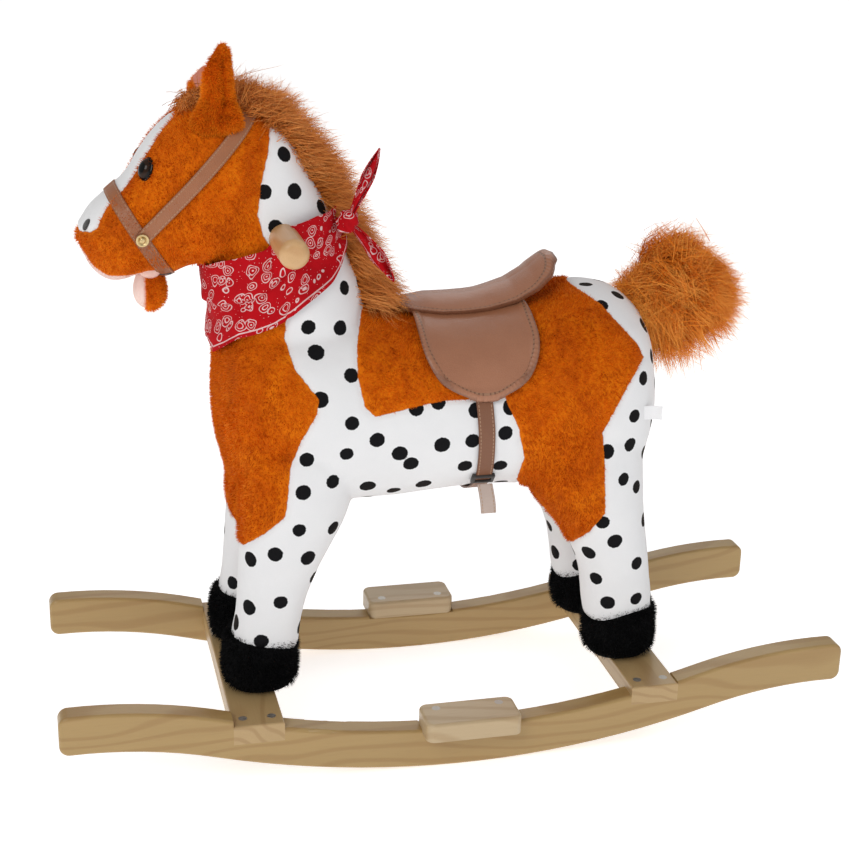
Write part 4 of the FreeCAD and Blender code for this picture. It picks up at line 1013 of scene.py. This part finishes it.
def leather(name, tones, coat=0.12, rough=0.45, stitch=None):
    """Pressed-grain leatherette with a soft worn bloom; stitch holds the run and width of a strap, in mm."""
    look = Look(name, rough, Coat_Roughness=0.25, Coat_Weight=coat)
    place = look.place()
    grain = look.cells(place, 1100.0)
    cloudy = look.cloud(place, 38.0, 4.0)
    fine = look.cloud(place, 600.0, 3.0)
    dark, light, worn = tones
    colour = look.mix(cloudy * 0.7 + fine * 0.3, (*dark, 1), (*light, 1))
    height = grain * 0.5 + fine * 0.2
    if stitch:
        run, width = stitch
        u, v, _ = look.split(look.node("ShaderNodeUVMap", {"uv_map": "UVMap"}))
        edge = look.from_edge(v) * width
        dash = look.fraction(u * (run / 3.4))
        line = look.step(look.near(edge, 1.9), 0.45, 0.25)
        stitches = line * look.step(look.near(dash, 0.5), 0.36, 0.30)
        colour = look.mix(stitches, colour, (0.42, 0.25, 0.15, 1))
        colour = look.mix(look.step(edge, 0.7, 0.1) * 0.55, colour, (*worn, 1))
        height = height - line * 0.9 + stitches * 1.6
    look.feed(Base_Color=colour, Roughness=rough - 0.08 + fine * 0.2, Normal=look.bump(height, 0.0005, 0.7))
    return look


TAN = ((0.25, 0.085, 0.032), (0.38, 0.145, 0.060), (0.10, 0.03, 0.012))
DARK_TAN = ((0.15, 0.052, 0.020), (0.22, 0.085, 0.036), (0.08, 0.025, 0.010))
STRAP_WIDTH, STRAP_THICK, STRAP_EDGE = 13.5, 0.0017, 0.0004
noseband = wrapped("noseband_strap", (-283, 0, 495), 121.0, 0, 360, STRAP_WIDTH, 0.0012, 120)
thickened(noseband, STRAP_THICK, 1, STRAP_EDGE)
cheek = wrapped("cheek_strap_over", (-226, 0, 541), 46.6, -151, 151, STRAP_WIDTH, 0.0028, 120)
thickened(cheek, STRAP_THICK, 1, STRAP_EDGE)
for strap, run, node in ((noseband, 230, "noseband"), (cheek, 380, "cheek_strap")):
    dress(strap, leather(node + "_leather", TAN, stitch=(run, STRAP_WIDTH)))
    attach(strap, "root")
    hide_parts(node)

brass_look = Look("rivet_brass", 0.3, Metallic=1.0)
spots = brass_look.cloud(brass_look.place(), 700.0, 4.0)
brass_look.feed(Base_Color=brass_look.mix(spots, (0.42, 0.30, 0.13, 1), (0.80, 0.62, 0.34, 1)),
                Roughness=0.2 + spots * 0.3)
RIVET_X, RIVET_Z = -0.2772, 0.4872
rivets = []
for way in (-1, 1):
    rivet = turned("rivet", [(5.6, -1), (5.8, 0.4), (5.5, 1.1), (4.8, 1.4), (4.0, 1.2), (3.3, 0.4),
                             (2.7, 0.3), (2.5, 1.3), (1.8, 1.9), (0.7, 2.1)])
    finish_with(rivet, "BEVEL", width=0.0001, segments=1, limit_method="ANGLE", angle_limit=math.radians(60))
    point, out, _, _ = skin_tree.ray_cast(Vector((RIVET_X, way * 0.3, RIVET_Z)), Vector((0, -way, 0)))
    rivets.append(stood_at(rivet, point + out * 0.0042, out))
rivets = joined("rivets_brass", rivets)
smooth(rivets, 40)
dress(rivets, brass_look)
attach(rivets, "root")
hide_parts("bridle_rivets")

# ------------------------------------------------------------------ saddle
# A padded seat of brown leatherette with a raised cantle, and a round flap on each side; every edge is
# turned over a cord and sewn down, which puckers it.

TORSO_AXIS, BARREL = 0.320, 92


def round_body(x, arc, lift):
    """A point on the barrel, x along it and arc round it from the top (left is below 0), in mm."""
    angle = arc / BARREL
    way = Vector((0, math.sin(angle), math.cos(angle)))
    point, out, _, _ = skin_tree.ray_cast(Vector((x * 0.001, 0, TORSO_AXIS)), way)
    return point + out * lift


def disc(u, v):
    """A square's corner of -1 to 1 moved to a round outline."""
    return u * math.sqrt(1 - v * v / 2), v * math.sqrt(1 - u * u / 2)


def tongue(u, v):
    """A square's corner moved to a flap's outline: straight down the sides, then round."""
    a, b = disc(u, v)
    return (a, b) if v > 0 else (u * (1 - 0.04 * v * v), v)


def saddle_leather(name, tones, stitch_in=3.4):
    """The straps' leatherette, with a line of stitches set in from the edge that puckers it."""
    look = leather(name, tones, coat=0.25, rough=0.38)
    edge, along = look.mark("edge_mm"), look.mark("along_mm")
    dash = look.fraction(along / 4.2)
    line = look.step(look.near(edge, stitch_in), 0.55, 0.30)
    stitches = line * look.step(look.near(dash, 0.5), 0.36, 0.30)
    puckers = look.step(look.near(dash, 0.5), 0.1, 0.5) * look.step(edge, stitch_in + 1, stitch_in - 1)
    socket = look.shader.inputs["Base Color"]
    plain = Wire(look, socket.links[0].from_socket)
    seamed = look.mix(line * 0.6, plain, (0.05, 0.018, 0.008, 1))
    seamed = look.mix(stitches, seamed, (0.30, 0.15, 0.08, 1))
    under = Wire(look, look.shader.inputs["Normal"].links[0].from_socket)
    look.feed(Base_Color=look.mix(look.step(edge, 1.6, 0.2) * 0.5, seamed, (0.07, 0.024, 0.011, 1)),
              Normal=look.bump(stitches * 0.6 - line * 0.9 + puckers * 0.45, 0.0007, 0.8, under))
    return look


BROWN = ((0.30, 0.115, 0.055), (0.40, 0.172, 0.090), (0.12, 0.043, 0.020))
saddle_look = saddle_leather("saddle_leather", BROWN)
FLAP_X, FLAP_ARC, FLAP_RADIUS = 15, 67, 53
for side, way in (("left", -1), ("right", 1)):
    def flap_place(u, v, way=way):
        """A point of the flap, whose rim is rolled over its cord."""
        a, b = tongue(u, v)
        roll = 0.0035 + 0.0016 * math.exp(-((max(abs(u), v) - 0.95) / 0.05) ** 2)
        return round_body(FLAP_X + FLAP_RADIUS * a, way * (FLAP_ARC + FLAP_RADIUS * b), roll)

    flap = draped("saddle_flap_cover_" + side, 64, 64, flap_place)
    flat = [tongue(n / 32 - 1, m / 32 - 1) for m in range(65) for n in range(65)]
    if way < 0:
        work_on(flap, "EDIT")
        bpy.ops.mesh.select_all(action="SELECT")
        bpy.ops.mesh.flip_normals()
        bpy.ops.object.mode_set(mode="OBJECT")
    keep(flap, "edge_mm", [(1 - (math.hypot(a, b) if b > 0 else abs(a))) * FLAP_RADIUS for a, b in flat])
    keep(flap, "along_mm", [(math.atan2(b, abs(a)) if b > 0 else b) * FLAP_RADIUS for a, b in flat])
    thickened(flap, 0.003, 1, 0.0008)
    dress(flap, saddle_look)
    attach(flap, "root")
    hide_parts("saddle_flap_" + side)

SEAT_FRONT, SEAT_LENGTH = -50, 148
SEAT_X = (-50, -46, -36, -10, 30, 60, 80, 92, 98)
SEAT_HALF = (6, 16, 25, 32, 33, 32, 31, 29, 22)
SEAT_RISE = (0.5, 1, 1.5, 2, 2.5, 5, 12, 21, 27)


def seat_place(u, v):
    """A point of the seat, which leaves the back and rises to the cantle."""
    a, b = disc(u, v)
    share = (a + 1) / 2
    x = SEAT_FRONT + SEAT_LENGTH * share
    half = float(np.interp(x, SEAT_X, SEAT_HALF))
    limit = math.sqrt(max(1e-6, 1 - a * a))
    across = b / limit if limit > 1e-3 else 0
    rise = float(np.interp(x, SEAT_X, SEAT_RISE))
    base = round_body(min(x, 84), half * across, 0.0035)
    dome = 7 * (1 - across ** 2) * min(1, (x - SEAT_FRONT) / 30)
    level = max(base.z, 0.405) if x > 60 else base.z
    off_back = min(1, (x - 60) / 40 if x > 60 else 0) * 0.6
    return Vector((x * 0.001, base.y, base.z + (level - base.z) * off_back + (rise + dome) * 0.001))


seat = draped("saddle_seat_pad", 72, 56, seat_place)
flat = [disc(n / 36 - 1, m / 28 - 1) for m in range(57) for n in range(73)]
keep(seat, "edge_mm", [(1 - math.hypot(a, b)) * 52 for a, b in flat])
keep(seat, "along_mm", [math.atan2(b, a) * 62 for a, b in flat])
finish_with(seat, "SMOOTH", factor=0.5, iterations=4)
thickened(seat, 0.0052, 1, 0.0016)
dress(seat, saddle_look)
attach(seat, "root")
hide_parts("saddle_seat")

# ------------------------------------------------------------------ girth strap
# A tan strap sewn under both flaps and passed round the belly, drawn tight through a moulded slider, with
# its free end hanging below.

GIRTH_HALF, GIRTH_TOP = 7.5, 105


def girth_middle(arc):
    """The strap leans back a little as it goes under the belly."""
    return float(np.interp(abs(arc), (90, 118, 150, 200, 300), (12, 13, 16, 19, 19)))


def girth_place(u, v):
    """A point of the strap, from under one flap round the belly to the other."""
    arc = GIRTH_TOP + (u + 1) / 2 * (2 * math.pi * BARREL - 2 * GIRTH_TOP)
    arc = arc if arc < math.pi * BARREL else arc - 2 * math.pi * BARREL
    return round_body(girth_middle(arc) + v * GIRTH_HALF, -arc, 0.0012)


girth = thickened(draped("girth_band", 110, 4, girth_place), STRAP_THICK, 1, STRAP_EDGE)
dress(girth, leather("girth_leather", DARK_TAN, stitch=(370, 15)))
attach(girth, "root")
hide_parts("girth_strap")

SLIDER_X, SLIDER_ARC = 18.5, -202
slider_point = round_body(SLIDER_X, SLIDER_ARC, 0.0028)
slider_out = (round_body(SLIDER_X, SLIDER_ARC, 0.02) - slider_point).normalized()
bpy.ops.object.select_all(action="DESELECT")
bpy.ops.mesh.primitive_cube_add(size=1, scale=(0.021, 0.012, 0.0040))
slider = bpy.context.object
slider.name = "girth_slider"
bpy.ops.object.transform_apply(scale=True)
work_on(slider, "EDIT")
bpy.ops.mesh.select_all(action="DESELECT")
mesh = bmesh.from_edit_mesh(slider.data)
mesh.faces.ensure_lookup_table()
for face in mesh.faces:
    face.select_set(face.normal.z > 0.9)
bpy.ops.mesh.inset(thickness=0.003)
bpy.ops.mesh.extrude_region_move(TRANSFORM_OT_translate={"value": (0, 0, -0.0026)})
bpy.ops.object.mode_set(mode="OBJECT")
finish_with(slider, "BEVEL", width=0.0007, segments=2, limit_method="ANGLE", angle_limit=math.radians(40))
stood_at(slider, slider_point, slider_out)
smooth(slider, 40)
slider_look = Look("slider_plastic", 0.42)
scuff = slider_look.cloud(slider_look.place(), 900.0, 4.0)
slider_look.feed(Base_Color=slider_look.mix(scuff, (0.010, 0.009, 0.009, 1), (0.05, 0.042, 0.038, 1)),
                 Roughness=0.35 + scuff * 0.3, Normal=slider_look.bump(scuff, 0.0002, 0.5))
dress(slider, slider_look)
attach(slider, "root")
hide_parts("girth_buckle")

loose_top = slider_point + Vector((0.001, -0.004, -0.004))


def loose_place(u, v):
    """A point of the free end, which hangs and curls out a little."""
    fall = (u + 1) / 2
    return loose_top + Vector((v * 0.0072 + fall * 0.004, -0.004 * math.sin(fall * 2.6), -0.028 * fall))


PALE_BACKING = ((0.42, 0.32, 0.27), (0.54, 0.43, 0.38), (0.26, 0.17, 0.12))
loose_end = thickened(draped("girth_free_end", 14, 4, loose_place), 0.0016, 0, STRAP_EDGE)
dress(loose_end, leather("free_end_leather", PALE_BACKING, stitch=(28, 15)))
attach(loose_end, "root")

# ------------------------------------------------------------------ neckerchief
# A red cotton square printed with white paisley, folded corner to corner and tied round the neck: the
# point hangs over the chest and the two ends stand out from a knot behind the left side of the mane.

NECK_TURN = (0, 20, 45, 70, 95, 120, 140, 160, 180)
NECK_TOP = (456, 460, 468, 477, 497, 503, 505, 508, 510)
NECK_LOW = (386, 378, 398, 410, 428, 446, 466, 480, 486)
NECK_REACH, CLOTH_THICK = 0.069, 0.0009


def neck_place(u, v):
    """A point of the folded cloth round the neck, with its gathers and the lap of its upper layer."""
    angle = 180 * u
    turn = abs(angle)
    top, low = float(np.interp(turn, NECK_TURN, NECK_TOP)), float(np.interp(turn, NECK_TURN, NECK_LOW))
    share = (v + 1) / 2
    z = low + (top - low) * share
    middle = np.interp(z, (380, 420, 460, 500, 515), (-146, -146, -152, -160, -164))
    a = math.radians(angle)
    way = Vector((-math.cos(a), -math.sin(a), 0))
    axis_point = Vector((middle * 0.001, 0, z * 0.001))
    point, out, _, _ = skin_tree.ray_cast(axis_point, way)
    if turn < 75 and (point - axis_point).length > NECK_REACH:  # under the chin the cloth stays on the neck
        point, out = axis_point + way * 0.066, way
    gather = 0.45 + 0.55 * min(1, turn / 150)
    wander = noise.noise(Vector((u * 3.1, share * 1.3, 4.0)))
    fold = math.sin(share * 11.0 + wander * 3.4 + u * 2.0) * gather
    fine = noise.noise(Vector((u * 14, share * 5.0, 9.0)))
    flare = (1 - share) ** 2 * (1 - min(1, turn / 110)) * 4.0
    lap = min(1, max(0, (z - np.interp(turn, (0, 30, 60, 100, 180), (421, 424, 436, 470, 520))) / 1.8))
    lift = 4.2 + fold * 1.7 * (1 - 0.5 * lap) + fine * 1.1 + flare + lap * 4.2
    level = Vector((way.x, way.y, 0)) * 0.75 + out * 0.25
    return point + level.normalized() * lift * 0.001 + Vector((0, 0, fine * 0.0008))


def cloth_coordinates(obj, width, length):
    """Put the piece's own UV map to its flat size in metres, so that the print keeps its scale."""
    layer = obj.data.uv_layers[0]
    flat = np.empty(len(layer.uv) * 2)
    layer.uv.foreach_get("vector", flat)
    layer.uv.foreach_set("vector", (flat.reshape(-1, 2) * (length, width)).ravel())


scarf = draped("neckerchief_fold", 200, 44, neck_place)
cloth_coordinates(scarf, 0.075, 0.42)
thickened(scarf, CLOTH_THICK, 1)
cotton = Look("paisley_cotton", 0.8, Specular_IOR_Level=0.08)
flat = cotton.node("ShaderNodeUVMap", {"uv_map": "UVMap"})
bent = cotton.node("ShaderNodeVectorMath", {"operation": "ADD"}, {0: flat, 1: cotton.node(
    "ShaderNodeVectorMath", {"operation": "SCALE"},
    {0: cotton.node("ShaderNodeTexNoise", {}, {"Vector": flat, "Scale": 60.0, "Detail": 1.0}, output=1),
     "Scale": 0.010})})
motif = cotton.cells(bent, 80.0, spread=0.9)
petal = cotton.cells(bent, 330.0, spread=0.5)
small = cotton.cells(flat, 420.0, spread=0.8)
outline = cotton.step(cotton.near(motif, 0.40), 0.034, 0.012)
inner = cotton.step(cotton.near(motif, 0.24), 0.032, 0.012)
heart = cotton.step(motif, 0.10, 0.06)
teeth = cotton.step(cotton.near(motif, 0.32), 0.05, 0.03) * cotton.step(petal, 0.32, 0.22)
seeds = cotton.step(small, 0.17, 0.12) * cotton.step(motif, 0.47, 0.50)
_, hem, _ = cotton.split(flat)
piping = cotton.step(cotton.near(hem, 0.0045), 0.0008, 0.0005)
paisley = cotton.node("ShaderNodeMath", {"operation": "MAXIMUM"},
                      {0: outline + inner * 0.9 + piping, 1: heart + teeth + seeds * 0.7})
weave_u = cotton.node("ShaderNodeTexWave", {"bands_direction": "X"}, {"Vector": flat, "Scale": 820.0})
weave_v = cotton.node("ShaderNodeTexWave", {"bands_direction": "Y"}, {"Vector": flat, "Scale": 820.0})
worn = cotton.cloud(cotton.place(), 60.0, 3.0)
red = cotton.mix(worn, (0.36, 0.002, 0.006, 1), (0.53, 0.006, 0.012, 1))
pale = cotton.mix(worn, (0.62, 0.36, 0.36, 1), (0.80, 0.62, 0.62, 1))
cotton.feed(Base_Color=cotton.mix(cotton.step(paisley, 0.2, 0.7), red, pale), Roughness=0.7 + worn * 0.15,
            Normal=cotton.bump(weave_u * 0.5 + weave_v * 0.5, 0.00012, 0.6))
dress(scarf, cotton)
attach(scarf, "root")
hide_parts("neckerchief")

KNOT, KNOT_RADIUS = Vector((-0.1015, -0.047, 0.4975)), 0.0095


def scarf_end(name, tip, wide, bow, phase):
    """One hanging or standing end of the tied cloth: a narrow root that opens into a rippled point."""
    run = tip - KNOT
    across = run.cross(Vector((0.25, 1, 0.1))).normalized()
    face = run.cross(across).normalized()

    def put(u, v):
        share = (u + 1) / 2
        half = wide * (0.22 + 1.1 * share) * (1 if share < 0.62 else max(0.02, (1 - share) / 0.38) ** 0.8)
        ripple = math.sin(v * 4.4 + phase + share * 2.0) * 0.0036 * (0.4 + share)
        return KNOT + run * share + across * v * half + face * (ripple + bow * math.sin(share * math.pi))

    return draped(name, 30, 16, put)


ends = [scarf_end("neckerchief_upper_end", Vector((-0.0745, -0.048, 0.560)), 0.0062, 0.007, 0.4),
        scarf_end("neckerchief_lower_end", Vector((-0.062, -0.056, 0.446)), 0.0085, -0.007, 1.7)]
for end in ends:
    cloth_coordinates(end, 0.028, 0.07)
    thickened(end, CLOTH_THICK, 0)
    dress(end, cotton)
    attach(end, "root")

bpy.ops.object.select_all(action="DESELECT")
bpy.ops.mesh.primitive_uv_sphere_add(segments=40, ring_count=24, radius=KNOT_RADIUS, location=(0, 0, 0))
knot = bpy.context.object
knot.name = "neckerchief_knot"
for vertex in knot.data.vertices:
    turn, high = math.atan2(vertex.co.y, vertex.co.x), vertex.co.z / KNOT_RADIUS
    folds = 1 + 0.10 * math.sin(high * 7 + turn * 1.5) + 0.16 * noise.noise(vertex.co * 190)
    vertex.co = Vector((vertex.co.x * 0.95, vertex.co.y * 0.8, vertex.co.z * 1.1)) * folds
knot.data.transform(Matrix.Translation(KNOT) @ Matrix.Rotation(0.5, 4, "Y"))
cloth_coordinates(knot, 0.03, 0.06)
smooth(knot, 180)
dress(knot, cotton)
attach(knot, "root")

# ------------------------------------------------------------------ sewn-in label
# A blank white satin tag, folded once and caught in the seam of the rump on the left.

label_root, _ = on_skin(201, 288)


def label_place(u, v):
    """A point of the tag, which bends a little as it stands out from the seam."""
    share = (u + 1) / 2
    return label_root + Vector((0.98, -0.10, 0.12)) * (share * 0.021 - 0.003) + Vector(
        (0, math.sin(share * 3.0) * 0.002, v * 0.0065 - share * 0.003))


label = thickened(draped("blank_label", 14, 6, label_place), 0.0006, 0)
satin = Look("label_satin", 0.4, Sheen_Weight=0.2)
ribs = satin.node("ShaderNodeTexWave", {"bands_direction": "Z"}, {"Vector": satin.place(), "Scale": 900.0})
satin.feed(Base_Color=satin.mix(ribs, (0.82, 0.82, 0.84, 1), (0.90, 0.90, 0.91, 1)),
           Normal=satin.bump(ribs, 0.0001, 0.5))
dress(label, satin)
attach(label, "root")
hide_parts("care_label")
